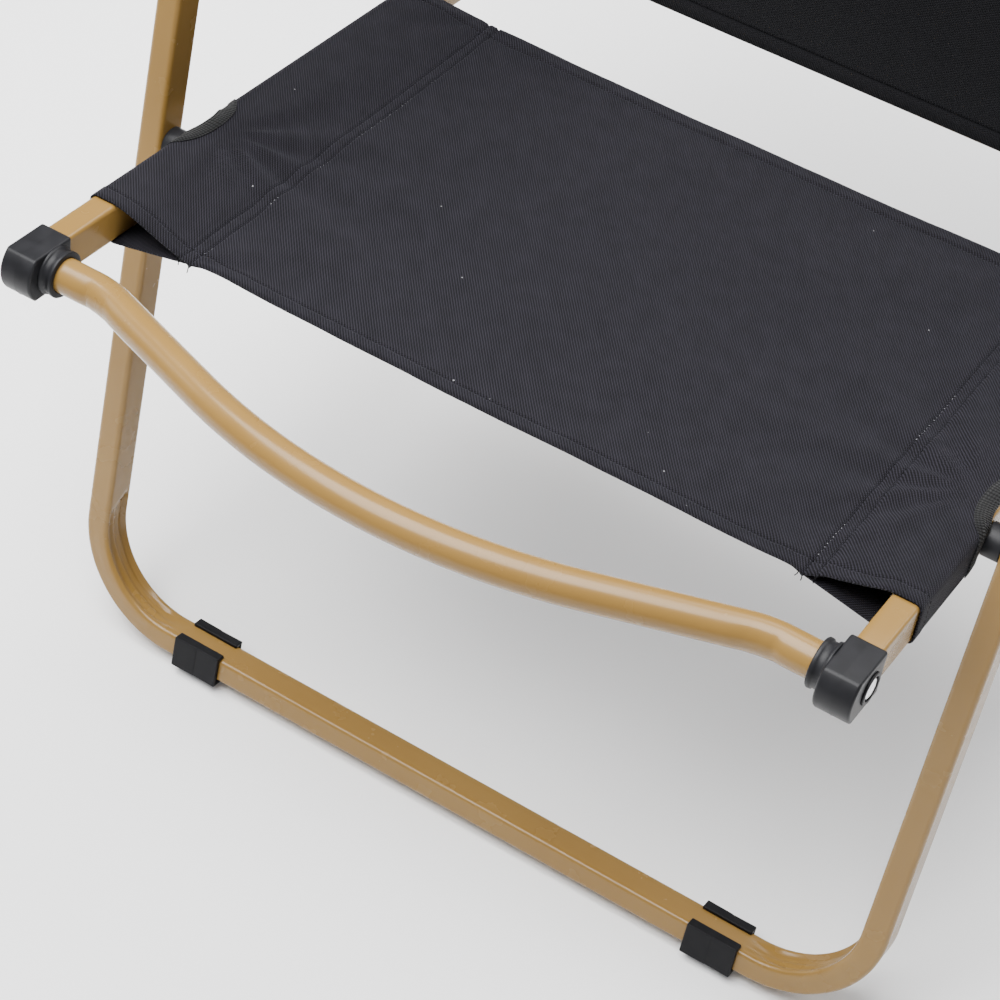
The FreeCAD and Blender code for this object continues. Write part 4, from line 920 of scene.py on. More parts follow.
ARM_REAR_PIN = ARM_PIN + BACK_RAIL * RAIL_SPAN
REAR_IN = REAR_HALF - LEG_WIDE / 2
pin_pair("seat_pins", "seat_pivot_pins", "front_frame", SEAT_PIN, RAIL_IN, LEG_OUT)
pin_pair("back_pins", "back_pivot_pins", "backrest", BACK_PIN, RAIL_IN, LEG_OUT)
pin_pair("rear_pins", "rear_leg_pins", "seat_frame", REAR_PIN, REAR_IN, RAIL_OUT, False)
pin_pair("arm_front_pins", "armrest_front_pins", "front_frame", ARM_PIN, LEG_IN, PLATE_OUT)
pin_pair("arm_rear_pins", "armrest_rear_pins", "backrest", ARM_REAR_PIN, LEG_IN, PLATE_OUT)


def ring_pair(name, node_name, body, pin, start, length, radius):
    """A pair of turned spacers or washers round a pin."""
    edge = min(0.6 * MM, length / 3)
    bore = PIN_RADIUS + 0.05 * MM
    profile = [
        (bore, start),
        (radius - edge, start),
        (radius, start + edge),
        (radius, start + length - edge),
        (radius - edge, start + length),
        (bore, start + length),
        (bore, start),
    ]
    place = side_frame(pin, BACK_RAIL)
    turned_pair(name, node_name, body, place, profile, PLASTIC)


PLAY = 0.25 * MM
FAT = 9 * MM
THIN = 7 * MM
LONG_RING = GAP - PLAY
SHORT_RING = WASHER - PLAY
for name, node_name, body, pin, start, length, radius in (
    ("seat_spacers", "seat_pivot_spacers", "front_frame", SEAT_PIN, RAIL_OUT + PLAY, LONG_RING, FAT),
    ("back_spacers", "back_pivot_spacers", "backrest", BACK_PIN, RAIL_OUT + PLAY, LONG_RING, FAT),
    ("rear_spacers", "rear_leg_spacers", "seat_frame", REAR_PIN, RAIL_IN - LONG_RING, LONG_RING, FAT),
    ("arm_washers", "armrest_front_washers", "front_frame", ARM_PIN, LEG_OUT, SHORT_RING, THIN),
    ("arm_rear_washers", "armrest_rear_washers", "backrest", ARM_REAR_PIN, LEG_OUT, SHORT_RING, THIN),
):
    ring_pair(name, node_name, body, pin, start, length, radius)


def rivet_pair(name, node_name, body, place, plug_start, plug_end, face):
    """Semi-tubular rivets: a dished bright head on a shank that ends in a plug."""
    plug = CROSS_RADIUS - TUBE_WALL - FIT
    profile = [
        (0, plug_start),
        (plug - 0.5 * MM, plug_start),
        (plug, plug_start + 0.5 * MM),
        (plug, plug_end),
        (PIN_RADIUS, plug_end),
        (PIN_RADIUS, face),
        (5.2 * MM, face),
        (5.5 * MM, face + 0.35 * MM),
        (4.9 * MM, face + 0.85 * MM),
        (3.4 * MM, face + 1.0 * MM),
        (2.6 * MM, face + 0.7 * MM),
        (0, face + 0.6 * MM),
    ]
    turned_pair(name, node_name, body, place, profile, STEEL)


PLUG_DEEP = 14 * MM
STEM_LONG = 2.5 * MM
CAP_THICK = 1.5 * MM
REAR_TOP = REAR_LEG_LONG + REAR_END
RAIL_REAR = RAIL_SPAN + RAIL_END
LOWER_UP = 27 * MM
LOWER_PLACE = BACK @ Matrix.Translation((0, LOWER_UP, 0))
rivet_pair(
    "cross_rivets",
    "cross_tube_rivets",
    "seat_frame",
    CROSS_PLACE,
    CROSS_HALF - PLUG_DEEP,
    CROSS_HALF,
    RAIL_HALF + CONNECTOR_WIDE / 2,
)
rivet_pair(
    "lower_rivets", "backrest_tube_rivets", "backrest", LOWER_PLACE, LEG_IN - PLUG_DEEP, LEG_IN, LEG_OUT
)


def lower_tube():
    """The straight round tube across the foot of the back."""
    bm = bmesh.new()
    draw_out(bm, round_ring(bm, -LEG_IN), ACROSS, [LEG_IN / 6] * 12)
    clean(bm)
    put(bm, LOWER_PLACE)
    tube = make_piece("lower_tube", bm, PAINT, "backrest", ["backrest_lower_tube"])
    give_wall(tube, TUBE_WALL)


lower_tube()


def cap_pair(name, node_name, body, place, half, end, high, outward):
    """Push-in end caps with a softened rim and a stem in the bore."""
    bm = bmesh.new()
    bmesh.ops.create_cube(bm, size=1)
    bmesh.ops.scale(bm, vec=(LEG_WIDE, CAP_THICK, high), verts=bm.verts[:])
    bmesh.ops.recalc_face_normals(bm, faces=bm.faces[:])
    corners = [e for e in bm.edges if abs(e.verts[0].co.y - e.verts[1].co.y) > CAP_THICK / 2]
    soften(bm, corners, TUBE_ROUND, 4)
    rim = [e for e in bm.edges if all(v.co.y * outward > CAP_THICK * 0.49 for v in e.verts)]
    soften(bm, rim, SOFT_EDGE, 3)
    back = [face for face in bm.faces if face.normal.y * outward < -0.9]
    bmesh.ops.inset_region(bm, faces=back, thickness=TUBE_WALL + FIT, use_even_offset=True)
    bore = [f for f in bm.faces if f.normal.y * outward < -0.9 and len(f.verts) > 6]
    push_out(bm, bore, (0, -outward * STEM_LONG, 0))
    bmesh.ops.delete(bm, geom=bore, context="FACES_ONLY")
    shift(bm, (half, end + outward * CAP_THICK / 2, 0))
    both_ways(bm)
    put(bm, place)
    even_shading(make_piece(name, bm, PLASTIC, body, [node_name]))


cap_pair("leg_caps", "front_leg_caps", "front_frame", LEG, LEG_HALF, LEG_TOP, LEG_DEEP, 1)
cap_pair("rear_caps", "rear_leg_caps", "rear_frame", REAR, REAR_HALF, REAR_TOP, LEG_DEEP, 1)
cap_pair("rail_caps", "seat_rail_caps", "seat_frame", SEAT, RAIL_HALF, RAIL_REAR, RAIL_HIGH, 1)
cap_pair("back_caps", "backrest_caps", "backrest", BACK, LEG_HALF, -UPRIGHT_END, LEG_DEEP, -1)

# ------------------------------------------------------------------ armrests

BOARD_WIDE = 46 * MM
BOARD_LONG = 330 * MM
BOARD_THICK = 14 * MM
BOARD_ROUND = 20 * MM
BOARD_EDGE = 4 * MM
BOARD_ASIDE = 15 * MM
BOARD_LOW = 14.5 * MM
BOARD_REAR = RAIL_SPAN - 14 * MM


def armrest_boards():
    """Timber boards with round corners and softened edges."""
    for side, word in ((1, "left"), (-1, "right")):
        bm = bmesh.new()
        made = bmesh.ops.create_grid(bm, x_segments=1, y_segments=1, size=0.5)
        bmesh.ops.scale(bm, vec=(BOARD_WIDE, BOARD_LONG, 1), verts=made["verts"])
        soften(bm, made["verts"], BOARD_ROUND, 12, "VERTICES")
        push_out(bm, bm.faces[:], (0, 0, BOARD_THICK))
        bmesh.ops.recalc_face_normals(bm, faces=bm.faces[:])
        rims = [e for e in bm.edges if abs(e.verts[0].co.z - e.verts[1].co.z) < 1e-7]
        soften(bm, rims, BOARD_EDGE, 6)
        middle = BOARD_REAR - BOARD_LONG / 2
        shift(bm, (side * (LEG_HALF + BOARD_ASIDE), middle, BOARD_LOW))
        put(bm, ARM)
        name, node_name = "board_" + word, "armrest_board_" + word
        even_shading(make_piece(name, bm, WOOD, "armrest_" + word, [node_name]))


armrest_boards()

# ------------------------------------------------------------------ seat cloth

CLOTH = 0.9 * MM
SKIN = 0.8 * MM
SEAT_FRONT = -80 * MM
SEAT_BACK = 212 * MM
FRONT_LEVEL = -0.6 * MM
BACK_LEVEL = 8 * MM
SLACK = 1.6 * MM
SEAMS = (178 * MM, 184.5 * MM)
SEAM_SHIFT = 3 * MM
HEM = 9.5 * MM
HEM_FRONT = 34 * MM
HEM_BACK = 47 * MM
NOTCH_MIDDLE = 13.5 * MM
NOTCH_HALF = 27 * MM
CORNER = 3.6 * MM
SKIN_X = RAIL_OUT + SKIN
SKIN_Z = RAIL_HIGH / 2 + SKIN
QUARTER = CORNER * math.pi / 2
RUN_TOP = SKIN_X - CORNER
RUN_WALL = 2 * (SKIN_Z - CORNER)
RUN_UNDER = SKIN_X - CORNER - RAIL_IN
SEAM_END = 178 * MM
UNDER_GAP = 1.4 * MM
SEAT_COLUMN = 4.2 * MM
SEAT_ROW = 3.6 * MM
SLANT = Vector((SEAM_END - RAIL_IN, FRONT_LEVEL - UNDER_GAP + SKIN_Z))
STOPS = [RUN_TOP]
for run in (QUARTER, RUN_WALL, QUARTER, RUN_UNDER, SLANT.length):
    STOPS.append(STOPS[-1] + run)


def seat_level(along):
    """The height of the cloth between the seams, which sinks towards the front."""
    share = (along - SEAT_FRONT) / (SEAT_BACK - SEAT_FRONT)
    return FRONT_LEVEL + (BACK_LEVEL - FRONT_LEVEL) * share


def section_point(distance, along):
    """The seat's cross-section: where a thread lies and which way it faces."""
    level = seat_level(along)
    if distance <= STOPS[0]:
        hang = SLACK * max(0.0, 1 - (distance / SEAMS[1]) ** 2)
        climb = min(1.0, max(0.0, (distance - SEAMS[1]) / (RAIL_IN - SEAMS[1])))
        climb += 0.06 * math.sin(math.pi * climb)
        return Vector((distance, level - hang + (SKIN_Z - level) * min(1.0, climb))), Vector((0, 1))
    if distance <= STOPS[1]:
        turn = (distance - STOPS[0]) / CORNER
        facing = Vector((math.sin(turn), math.cos(turn)))
        return Vector((RUN_TOP, SKIN_Z - CORNER)) + facing * CORNER, facing
    if distance <= STOPS[2]:
        return Vector((SKIN_X, SKIN_Z - CORNER - (distance - STOPS[1]))), Vector((1, 0))
    if distance <= STOPS[3]:
        turn = (distance - STOPS[2]) / CORNER
        facing = Vector((math.cos(turn), -math.sin(turn)))
        return Vector((RUN_TOP, CORNER - SKIN_Z)) + facing * CORNER, facing
    if distance <= STOPS[4]:
        return Vector((RUN_TOP - (distance - STOPS[3]), -SKIN_Z)), Vector((0, -1))
    share = (distance - STOPS[4]) / SLANT.length
    slant = Vector((SEAM_END - RAIL_IN, level - UNDER_GAP + SKIN_Z))
    facing = Vector((slant.y, -slant.x)).normalized()
    return Vector((RAIL_IN, -SKIN_Z)) + slant * share, -facing if facing.y > 0 else facing


def hem_fold(edge):
    """1 over the doubled cloth of a hem, falling to 0 past its stitches."""
    return 1 - smoothstep(HEM, HEM + 2 * MM, edge)


def groove(distance, line, depth=1.35 * MM, width=0.8 * MM):
    """The dip that a row of stitches pulls into the cloth."""
    return -depth * hill(distance, line, width)


def pull_folds(across, along, side_shift, origin, reach, folds, height):
    """Soft folds that fan out from a point where the cloth is pulled."""
    arm = Vector((across - origin[0], along - origin[1]))
    away = arm.length
    angle = math.atan2(arm.y, -arm.x)
    rise = smoothstep(6 * MM, 26 * MM, away) * math.exp(-away / reach)
    return height * rise * math.sin(angle * folds + side_shift)


def seat_relief(across, along, side):
    """How far the cloth stands off its plain shape: folds, seams and hems."""
    x = across * side
    seams = [seam + side * SEAM_SHIFT for seam in SEAMS]
    relief = 0.9 * MM * noise.noise(Vector((x / 0.085, along / 0.06, 2.7)))
    relief += 0.35 * MM * noise.noise(Vector((x / 0.03, along / 0.045, 9.1)))
    relief += pull_folds(across, along, side, (RAIL_IN, 12 * MM), 60 * MM, 11, 2.3 * MM)
    relief += pull_folds(across, along, 2 + side, (SEAMS[0], SEAT_FRONT), 45 * MM, 7, 1.2 * MM)
    relief += pull_folds(across, along, 1 - side, (SEAMS[1], SEAT_BACK), 45 * MM, 7, 1.2 * MM)
    slack = 1 - smoothstep(RAIL_IN - 12 * MM, RAIL_IN, across)
    relief = relief * slack + 0.12 * MM * noise.noise(Vector((x / 0.012, along / 0.012, 4.2))) * slack
    pucker = 0.22 * MM * math.sin(along / (1.6 * MM) + 3 * noise.noise(Vector((along / 0.02, 0, side))))
    relief += pucker * hill(across, sum(seams) / 2, 5.5 * MM)
    for seam in seams:
        relief += groove(across, seam)
    relief += 0.35 * MM * hill(across, seams[1] + 5 * MM, 3.5 * MM)
    for edge in (along - SEAT_FRONT, SEAT_BACK - along):
        relief += groove(edge, HEM)
        relief += 0.45 * MM * hem_fold(edge)
        uneven = 5 * noise.noise(Vector((across / 0.03, 1, side)))
        ripple = 0.18 * MM * math.sin(across / (2.3 * MM) + uneven)
        relief += ripple * hill(edge, HEM, 4 * MM)
    return relief


def seat_point(distance, along, lift=0.0):
    """A point of the seat cloth; distance runs across, negative to the sitter's right."""
    side = math.copysign(1, distance)
    flat, facing = section_point(abs(distance), along)
    ear = 1.7 * MM * hill(abs(distance), SEAMS[0] + side * SEAM_SHIFT, 5 * MM)
    ear *= 1 - smoothstep(0, 11 * MM, along - SEAT_FRONT)
    stand = lift
    if abs(distance) <= STOPS[0]:
        stand += seat_relief(abs(distance), along, side)
    elif abs(distance) <= STOPS[3]:
        for edge in (along - SEAT_FRONT, SEAT_BACK - along):
            stand += 0.3 * MM * hem_fold(edge)
            stand += groove(edge, HEM, 0.25 * MM)
    placed = flat + facing * stand
    return SEAT @ Vector((placed.x * side, along - ear, placed.y - 0.4 * ear))


def levels(start, stop, coarse, spots, fine=0.75 * MM, reach=2.4 * MM):
    """Grid lines from start to stop, closer together about the spots."""
    made = [start]
    while made[-1] < stop - 1e-6:
        here = made[-1]
        close = any(abs(here - spot) < reach + coarse / 2 for spot in spots)
        made.append(min(stop, here + (fine if close else coarse)))
    return made


NOTCH_IN = STOPS[0] + 0.5 * MM
NOTCH_OUT = STOPS[2] + 2 * MM


def notch_edge(share):
    """The cut edge of a pin notch, as (distance, along), from its front foot to its rear foot."""
    turn = math.pi * share
    along = NOTCH_MIDDLE - NOTCH_HALF * math.copysign(abs(math.cos(turn)) ** 0.8, math.cos(turn))
    depth = (NOTCH_OUT - NOTCH_IN) * (1 - abs(math.sin(turn)) ** 0.75)
    return NOTCH_IN + depth, along


def notch_low(along):
    """How far out the cloth reaches at a place along the notch."""
    reach = (along - NOTCH_MIDDLE) / NOTCH_HALF
    if abs(reach) >= 1:
        return STOPS[3]
    turn = math.acos(-math.copysign(abs(reach) ** 1.25, reach))
    return notch_edge(turn / math.pi)[0]


def seat_cloth():
    """The slung seat: one cloth over both rails, open round the pins, closed in at the hems."""
    seam_lines = [seam + aside for seam in SEAMS for aside in (-SEAM_SHIFT, SEAM_SHIFT)]
    half_out = levels(0, STOPS[5], SEAT_COLUMN, seam_lines) + STOPS[:5]
    half_out += [STOPS[0] + QUARTER * part / 4 for part in (1, 2, 3)]
    half_out += [STOPS[2] + QUARTER * part / 4 for part in (1, 2, 3)]
    half_out = sorted(half_out)
    spaced = [half_out[0]]
    for level in half_out[1:]:
        if level - spaced[-1] > 0.35 * MM:
            spaced.append(level)
    columns = [-level for level in reversed(spaced[1:])] + spaced
    hems = (SEAT_FRONT + HEM, SEAT_BACK - HEM)
    rows = levels(SEAT_FRONT, SEAT_BACK, SEAT_ROW, hems)
    bm = bmesh.new()
    wide, long = len(columns) - 1, len(rows) - 1
    bmesh.ops.create_grid(bm, x_segments=wide, y_segments=long, size=0.5)
    uv = bm.loops.layers.uv.new("cloth")
    spots = {}
    for vert in bm.verts:
        column = columns[round((vert.co.x + 0.5) * wide)]
        row = rows[round((vert.co.y + 0.5) * long)]
        spots[vert] = (column, row)
    extra = []
    for face in bm.faces:
        reach = max(abs(spots[vert][0]) for vert in face.verts)
        along = sum(spots[vert][1] for vert in face.verts) / 4
        between = SEAT_FRONT + HEM_FRONT < along < SEAT_BACK - HEM_BACK
        limit = min(notch_low(along), STOPS[3] - QUARTER * 0.4) if between else STOPS[5] + 1
        if reach > limit:
            extra.append(face)
    for face in bm.faces:
        for loop in face.loops:
            loop[uv].uv = spots[loop.vert]
    for vert in bm.verts:
        vert.co = seat_point(*spots[vert])
    bmesh.ops.delete(bm, geom=extra, context="FACES")
    bmesh.ops.recalc_face_normals(bm, faces=bm.faces[:])
    nodes = ["seat_panel", "seat_sleeve_left", "seat_sleeve_right"]
    cloth = make_piece("seat_cloth", bm, SEAT_CLOTH, "seat_frame", nodes)
    give_wall(cloth, CLOTH, 0.0).modifiers["wall"].use_even_offset = False
    return cloth


TAPE_WIDE = 8.5 * MM


def notch_binding():
    """Tape folded over the cut edge of each pin notch."""
    bm = bmesh.new()
    uv = bm.loops.layers.uv.new("cloth")
    steps = 44
    offsets = [(1, -0.95), (0.5, -1.0), (0, -0.7), (-0.05, 0), (0, 0.75), (0.5, 1.05), (1, 0.95)]
    for side in (1, -1):
        made = bmesh.ops.create_grid(bm, x_segments=steps, y_segments=len(offsets) - 1, size=0.5)
        spots = {}
        for vert in made["verts"]:
            share = vert.co.x + 0.5
            inward, lift = offsets[round((vert.co.y + 0.5) * (len(offsets) - 1))]
            edge = Vector(notch_edge(share))
            before = Vector(notch_edge(max(0, share - 0.01)))
            after = Vector(notch_edge(min(1, share + 0.01)))
            tangent = (after - before).normalized()
            normal = Vector((-abs(tangent.y), math.copysign(abs(tangent.x), edge.y - NOTCH_MIDDLE)))
            spot = edge + normal * inward * TAPE_WIDE
            spots[vert] = (share * 0.09, inward * TAPE_WIDE)
            proud = (5.5 * hill(share, 0.88, 0.06) - 1.8 * hill(share, 0.73, 0.04)) * MM * (1 - inward)
            vert.co = seat_point(side * spot.x, spot.y, lift * MM + proud)
        for face in bm.faces:
            for loop in face.loops:
                if loop.vert in spots:
                    loop[uv].uv = spots[loop.vert]
    bmesh.ops.recalc_face_normals(bm, faces=bm.faces[:])
    tape = make_piece("notch_binding", bm, BINDING, "seat_frame")
    give_wall(tape, 0.5 * MM, 0.0)
    return tape


def thread_bead():
    """A few-sided bead of thread to copy along the seams."""
    bm = bmesh.new()
    bmesh.ops.create_uvsphere(bm, u_segments=5, v_segments=4, radius=1)
    return mesh_from("thread_bead", bm)


BEAD = thread_bead()
STITCH_PITCH = 3 * MM
THREAD_HALVES = (0.5 * MM, 0.28 * MM, 1.1 * MM)
ROW_INSET = 3 * MM
THREAD_LIFT = CLOTH / 2 + 0.02 * MM
SPECK_LIFT = CLOTH / 2 + 0.1 * MM
ABOVE = 2 * MM


def stitch(bm, place, heading, facing, size=1.0):
    """One stitch: a short twist of thread that sinks at both ends."""
    heading = heading.normalized()
    sideways = facing.cross(heading).normalized()
    wide, thick, long = THREAD_HALVES
    turn = size * Matrix((sideways * wide, heading.cross(sideways) * thick, heading * long))
    matrix = Matrix.Translation(place) @ turn.transposed().to_4x4()
    first = len(bm.verts)
    bm.from_mesh(BEAD)
    bm.verts.ensure_lookup_table()
    for vert in bm.verts[first:]:
        vert.co = matrix @ vert.co


def stitch_row(bm, route, length):
    """Stitches along a route; route(share) gives a point on the cloth and one just above it."""
    count = int(length / STITCH_PITCH)
    for index in range(count):
        share = (index + 0.5) / count
        place, above = route(share)
        ahead = route(share + 0.2 / count)[0]
        stitch(bm, place, ahead - place, above - place)


def seat_stitching():
    """Thread along the double seams and both hems."""
    bm = bmesh.new()

    def lengthwise(distance):
        span = SEAT_BACK - SEAT_FRONT - 2 * ROW_INSET

        def route(share):
            along = SEAT_FRONT + ROW_INSET + share * span
            return seat_point(distance, along, THREAD_LIFT), seat_point(distance, along, ABOVE)

        return route, span

    def crosswise(along):
        span = 2 * STOPS[2]

        def route(share):
            distance = -STOPS[2] + share * span
            return seat_point(distance, along, THREAD_LIFT), seat_point(distance, along, ABOVE)

        return route, span

    for side in (1, -1):
        for seam in SEAMS:
            stitch_row(bm, *lengthwise(side * seam + SEAM_SHIFT))
    for along in (SEAT_FRONT + HEM, SEAT_BACK - HEM):
        stitch_row(bm, *crosswise(along))
    return make_piece("seat_stitching", bm, THREAD, "seat_frame")


def painted_glint_specks():
    """Pale specks at some needle holes of the inner seams: painted highlights on the thread."""
    bm = bmesh.new()
    for side in (1, -1):
        distance = side * SEAMS[0] + SEAM_SHIFT
        for index in range(95):
            along = SEAT_FRONT + (3 + 3 * index) * MM
            if noise.noise(Vector((along / 0.021, side * 3.3, 5.7))) < 0.16:
                continue
            place = seat_point(distance, along, SPECK_LIFT)
            above = seat_point(distance, along, ABOVE)
            ahead = seat_point(distance, along + MM, SPECK_LIFT)
            stitch(bm, place, ahead - place, above - place, 0.42)
    return make_piece("painted_glint_specks", bm, STITCH_GLINT, "seat_frame")


def thread_tails():
    """Loose thread ends where the double seams run off the front hem."""
    bm = bmesh.new()
    for side in (1, -1):
        for seam in (SEAMS[0] - 2 * MM, SEAMS[0], SEAMS[1], SEAMS[1] + 1.5 * MM):
            place = seat_point(side * seam + SEAM_SHIFT, SEAT_FRONT, 0.4 * MM)
            made = bmesh.ops.create_circle(bm, cap_ends=True, radius=0.28 * MM, segments=5)
            bmesh.ops.translate(bm, vec=place, verts=made["verts"])
            face = next(f for f in made["verts"][0].link_faces)
            heading = Vector((random.uniform(-0.6, 0.6), -1, random.uniform(-0.6, 0.1)))
            for _ in range(5):
                heading += Vector((random.uniform(-0.5, 0.5), 0, random.uniform(-0.5, 0.3)))
                step = heading.normalized() * random.uniform(0.4, 0.9) * MM
                geometry = push_out(bm, [face], step)
                bmesh.ops.delete(bm, geom=[face], context="FACES_ONLY")
                face = next(f for f in geometry if isinstance(f, bmesh.types.BMFace))
    bmesh.ops.recalc_face_normals(bm, faces=bm.faces[:])
    return make_piece("thread_tails", bm, THREAD, "seat_frame")


seat = seat_cloth()
binding = notch_binding()
stitching = seat_stitching()
specks = painted_glint_specks()
tails = thread_tails()

# ------------------------------------------------------------------ back cloth

BACK_LOW = 22 * MM
BACK_SKIN = 0.8 * MM
BACK_OUT = LEG_OUT + BACK_SKIN
BACK_HIGH = BACK_LONG + LEG_WIDE / 2 + BACK_SKIN
BACK_FACE = LEG_DEEP / 2 + BACK_SKIN
BACK_CURVE = BEND + LEG_WIDE / 2 + BACK_SKIN
BACK_HEM = 50 * MM
ARM_NOTCH = 24 * MM
BACK_SLACK = 7 * MM
BACK_SEAMS = (LEG_IN - 50 * MM, LEG_IN - 44 * MM)
BACK_CORNER = 2.4 * MM
BACK_GRID = 6 * MM
SEAM_TOP = BACK_HIGH - 18 * MM


def back_relief(x, up):
    """The hollow of the slung back and its seams."""
    inside = max(0.0, 1 - (x / LEG_IN) ** 2)
    hollow = -BACK_SLACK * inside * smoothstep(BACK_LOW + 20 * MM, 0.2, up)
    hollow *= 1 - smoothstep(BACK_LONG - 90 * MM, BACK_LONG - 5 * MM, up)
    folds = 0.7 * MM * noise.noise(Vector((x / 0.09, up / 0.07, 5.3))) * inside
    seams = sum(groove(abs(x), seam) for seam in BACK_SEAMS)
    hem = 0.4 * MM * hem_fold(up - BACK_LOW) + groove(up - BACK_LOW, HEM)
    return hollow + folds + seams + hem


def back_half_width(up):
    """Half the cloth's width at a height, narrowing round the top corners."""
    over = up - (BACK_HIGH - BACK_CURVE)
    if over <= 0:
        return BACK_OUT
    return BACK_OUT - BACK_CURVE + math.sqrt(max(0.0, BACK_CURVE**2 - over**2))


def back_cloth():
    """The back: a front sheet drawn over the uprights and the top, hemmed behind them."""
    half = levels(0, BACK_OUT, BACK_GRID, BACK_SEAMS)
    columns = [-level for level in reversed(half[1:])] + half
    straight = levels(BACK_LOW, BACK_HIGH - BACK_CURVE, BACK_GRID, [BACK_LOW + HEM])
    corner_steps = 16
    rows = straight[:-1] + [
        BACK_HIGH - BACK_CURVE * (1 - math.sin(math.pi / 2 * step / corner_steps))
        for step in range(corner_steps + 1)
    ]
    bm = bmesh.new()
    wide, long = len(columns) - 1, len(rows) - 1
    bmesh.ops.create_grid(bm, x_segments=wide, y_segments=long, size=0.5)
    for vert in bm.verts:
        up = rows[round((vert.co.y + 0.5) * long)]
        x = columns[round((vert.co.x + 0.5) * wide)] * back_half_width(up) / BACK_OUT
        vert.co = Vector((x, up, BACK_FACE + back_relief(x, up)))
    rim = [
        edge
        for edge in bm.edges
        if edge.is_boundary and any(vert.co.y > BACK_LOW + 0.1 * MM for vert in edge.verts)
    ]

    def outward(vert):
        """Which way the rim faces at a vertex."""
        x, up = vert.co.x, vert.co.y
        corner = Vector((math.copysign(BACK_OUT - BACK_CURVE, x), BACK_HIGH - BACK_CURVE, 0))
        if up <= corner.y:
            return Vector((math.copysign(1, x), 0, 0))
        if abs(x) <= abs(corner.x):
            return Vector((0, 1, 0))
        return Vector((x - corner.x, up - corner.y, 0)).normalized()

    facing = {vert: outward(vert) for edge in rim for vert in edge.verts}
    for vert, direction in facing.items():
        vert.co -= direction * BACK_CORNER
        vert.co.z = BACK_FACE
    ring = rim
    turns = [(1.7, -0.7), (0.7, -1.7)] + [(0, -4.4)] * 4 + [(-0.7, -1.7), (-1.7, -0.7)]
    turns += [(-BACK_HEM / MM / 6, 0)] * 6
    wall_faces = []
    for step_out, step_back in turns:
        made = bmesh.ops.extrude_edge_only(bm, edges=ring)["geom"]
        fresh = verts_of(made)
        pairs = {}
        for vert in fresh:
            source = next(e.other_vert(vert) for e in vert.link_edges if e.other_vert(vert) in facing)
            pairs[vert] = facing[source]
        for vert, direction in pairs.items():
            vert.co += direction * step_out * MM + Vector((0, 0, step_back * MM))
        facing.update(pairs)
        if step_out >= 0 or step_back < 0:
            wall_faces += [item for item in made if isinstance(item, bmesh.types.BMFace)]
        ring = edges_of(made)
    heel = LOWER_UP + 11 * MM
    cut = []
    for face in wall_faces:
        middle = face.calc_center_median()
        beside = abs(middle.x) > BACK_OUT - 1.2 * MM and middle.z < BACK_FACE - 2 * MM
        if beside and (abs(middle.y - ARM_UP) < ARM_NOTCH or middle.y < heel):
            cut.append(face)
    bmesh.ops.delete(bm, geom=cut, context="FACES")
    uv = bm.loops.layers.uv.new("cloth")
    for face in bm.faces:
        for loop in face.loops:
            x, up, face_out = loop.vert.co
            loop[uv].uv = (x - face_out * 0.7, up - face_out * 0.7)
    put(bm, BACK)
    bmesh.ops.recalc_face_normals(bm, faces=bm.faces[:])
    cloth = make_piece("back_cloth", bm, BACK_TWILL_SHADED, "backrest", ["backrest_cloth"])
    give_wall(cloth, CLOTH, 0.0).modifiers["wall"].use_even_offset = False
    return cloth


def back_stitching():
    """Thread along the back's hem and its double side seams."""
    bm = bmesh.new()
    face = BACK_FACE + THREAD_LIFT

    def place(x, up, lift=0.0):
        return BACK @ Vector((x, up, face + back_relief(x, up) + lift))

    def hem(share):
        x = (2 * share - 1) * (BACK_OUT - 4 * MM)
        return place(x, BACK_LOW + HEM), place(x, BACK_LOW + HEM, ABOVE)

    stitch_row(bm, hem, 2 * BACK_OUT)
    for side in (1, -1):
        for line in BACK_SEAMS:
            x = side * line

            def seam(share, x=x):
                up = BACK_LOW + ROW_INSET + share * (SEAM_TOP - BACK_LOW)
                return place(x, up), place(x, up, ABOVE)

            stitch_row(bm, seam, SEAM_TOP - BACK_LOW)
    return make_piece("back_stitching", bm, THREAD, "backrest")


back = back_cloth()
back_thread = back_stitching()

# ------------------------------------------------------------------ carried-over CAD nodes

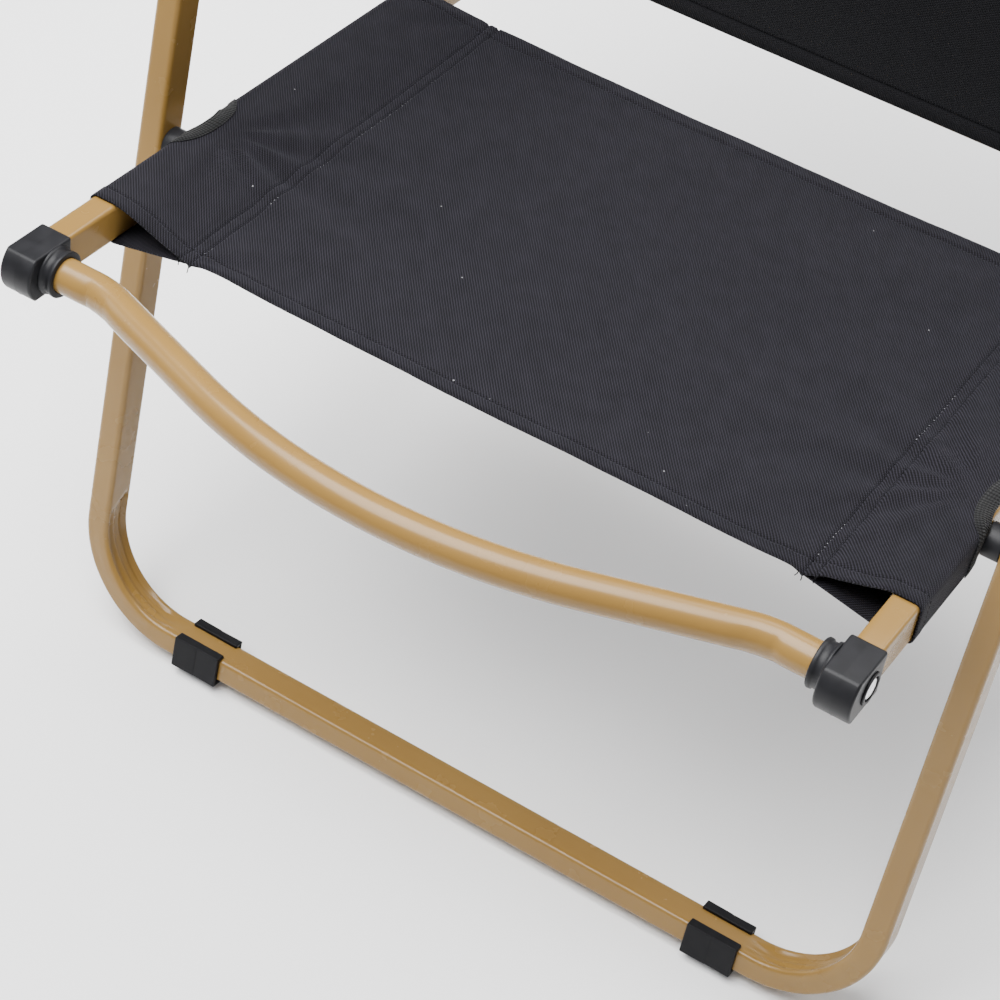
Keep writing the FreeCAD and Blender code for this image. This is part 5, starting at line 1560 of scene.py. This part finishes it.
KEPT = {
    "seat_brace_tube": PAINT,
    "seat_brace_saddles": PLASTIC,
    "seat_brace_screws": STEEL,
    "armrest_angle_left": PAINT,
    "armrest_angle_right": PAINT,
    "armrest_screws_left": STEEL,
    "armrest_screws_right": STEEL,
}
for node_name, material in KEPT.items():
    mesh = frame["nodes"][node_name].data
    mesh.materials.clear()
    mesh.materials.append(material)

# ------------------------------------------------------------------ studio


def studio():
    """A pale floor, a pale room and large soft lights."""
    bm = bmesh.new()
    bmesh.ops.create_grid(bm, x_segments=1, y_segments=1, size=6)
    floor = show("studio_floor", mesh_from("studio_floor", bm))
    material, _, shader = blank_material("pale_floor")
    set_values(shader, {"Base Color": (0.9, 0.9, 0.9, 1), "Roughness": 0.9})
    floor.data.materials.append(material)
    world = bpy.data.worlds.new("studio_room")
    world.use_nodes = True
    sky = next(n for n in world.node_tree.nodes if n.type == "BACKGROUND")
    set_values(sky, {"Color": (0.93, 0.95, 1.0, 1), "Strength": 0.42})
    bpy.context.scene.world = world
    for name, place, size, power in (
        ("top_softbox", (-0.45, -0.25, 2.4), 2.0, 190),
        ("back_softbox", (0.4, 1.7, 1.8), 1.6, 60),
        ("side_softbox", (-1.6, -0.4, 0.9), 0.8, 9),
    ):
        data = bpy.data.lights.new(name, "AREA")
        data.size = size
        data.energy = power
        lamp = show(name, data)
        lamp.location = place
        aim = Vector((0, 0, 0.3)) - Vector(place)
        lamp.rotation_mode = "QUATERNION"
        lamp.rotation_quaternion = aim.to_track_quat("-Z", "Y")


EYE = (0.4816, -0.9316, 1.3521)
AZIMUTH = math.radians(33.119)
ELEVATION = math.radians(51.908)
LENS = 99.54


def camera():
    """Looking down at the seat from the front left."""
    level = Vector((math.sin(AZIMUTH), -math.cos(AZIMUTH), 0))
    back = level * math.cos(ELEVATION) + Vector((0, 0, math.sin(ELEVATION)))
    data = bpy.data.cameras.new("view")
    data.lens = LENS
    data.sensor_width = 36
    eye = show("view", data)
    eye.location = EYE
    eye.rotation_mode = "QUATERNION"
    eye.rotation_quaternion = (-back).to_track_quat("-Z", "Y")
    bpy.context.scene.camera = eye


studio()
camera()
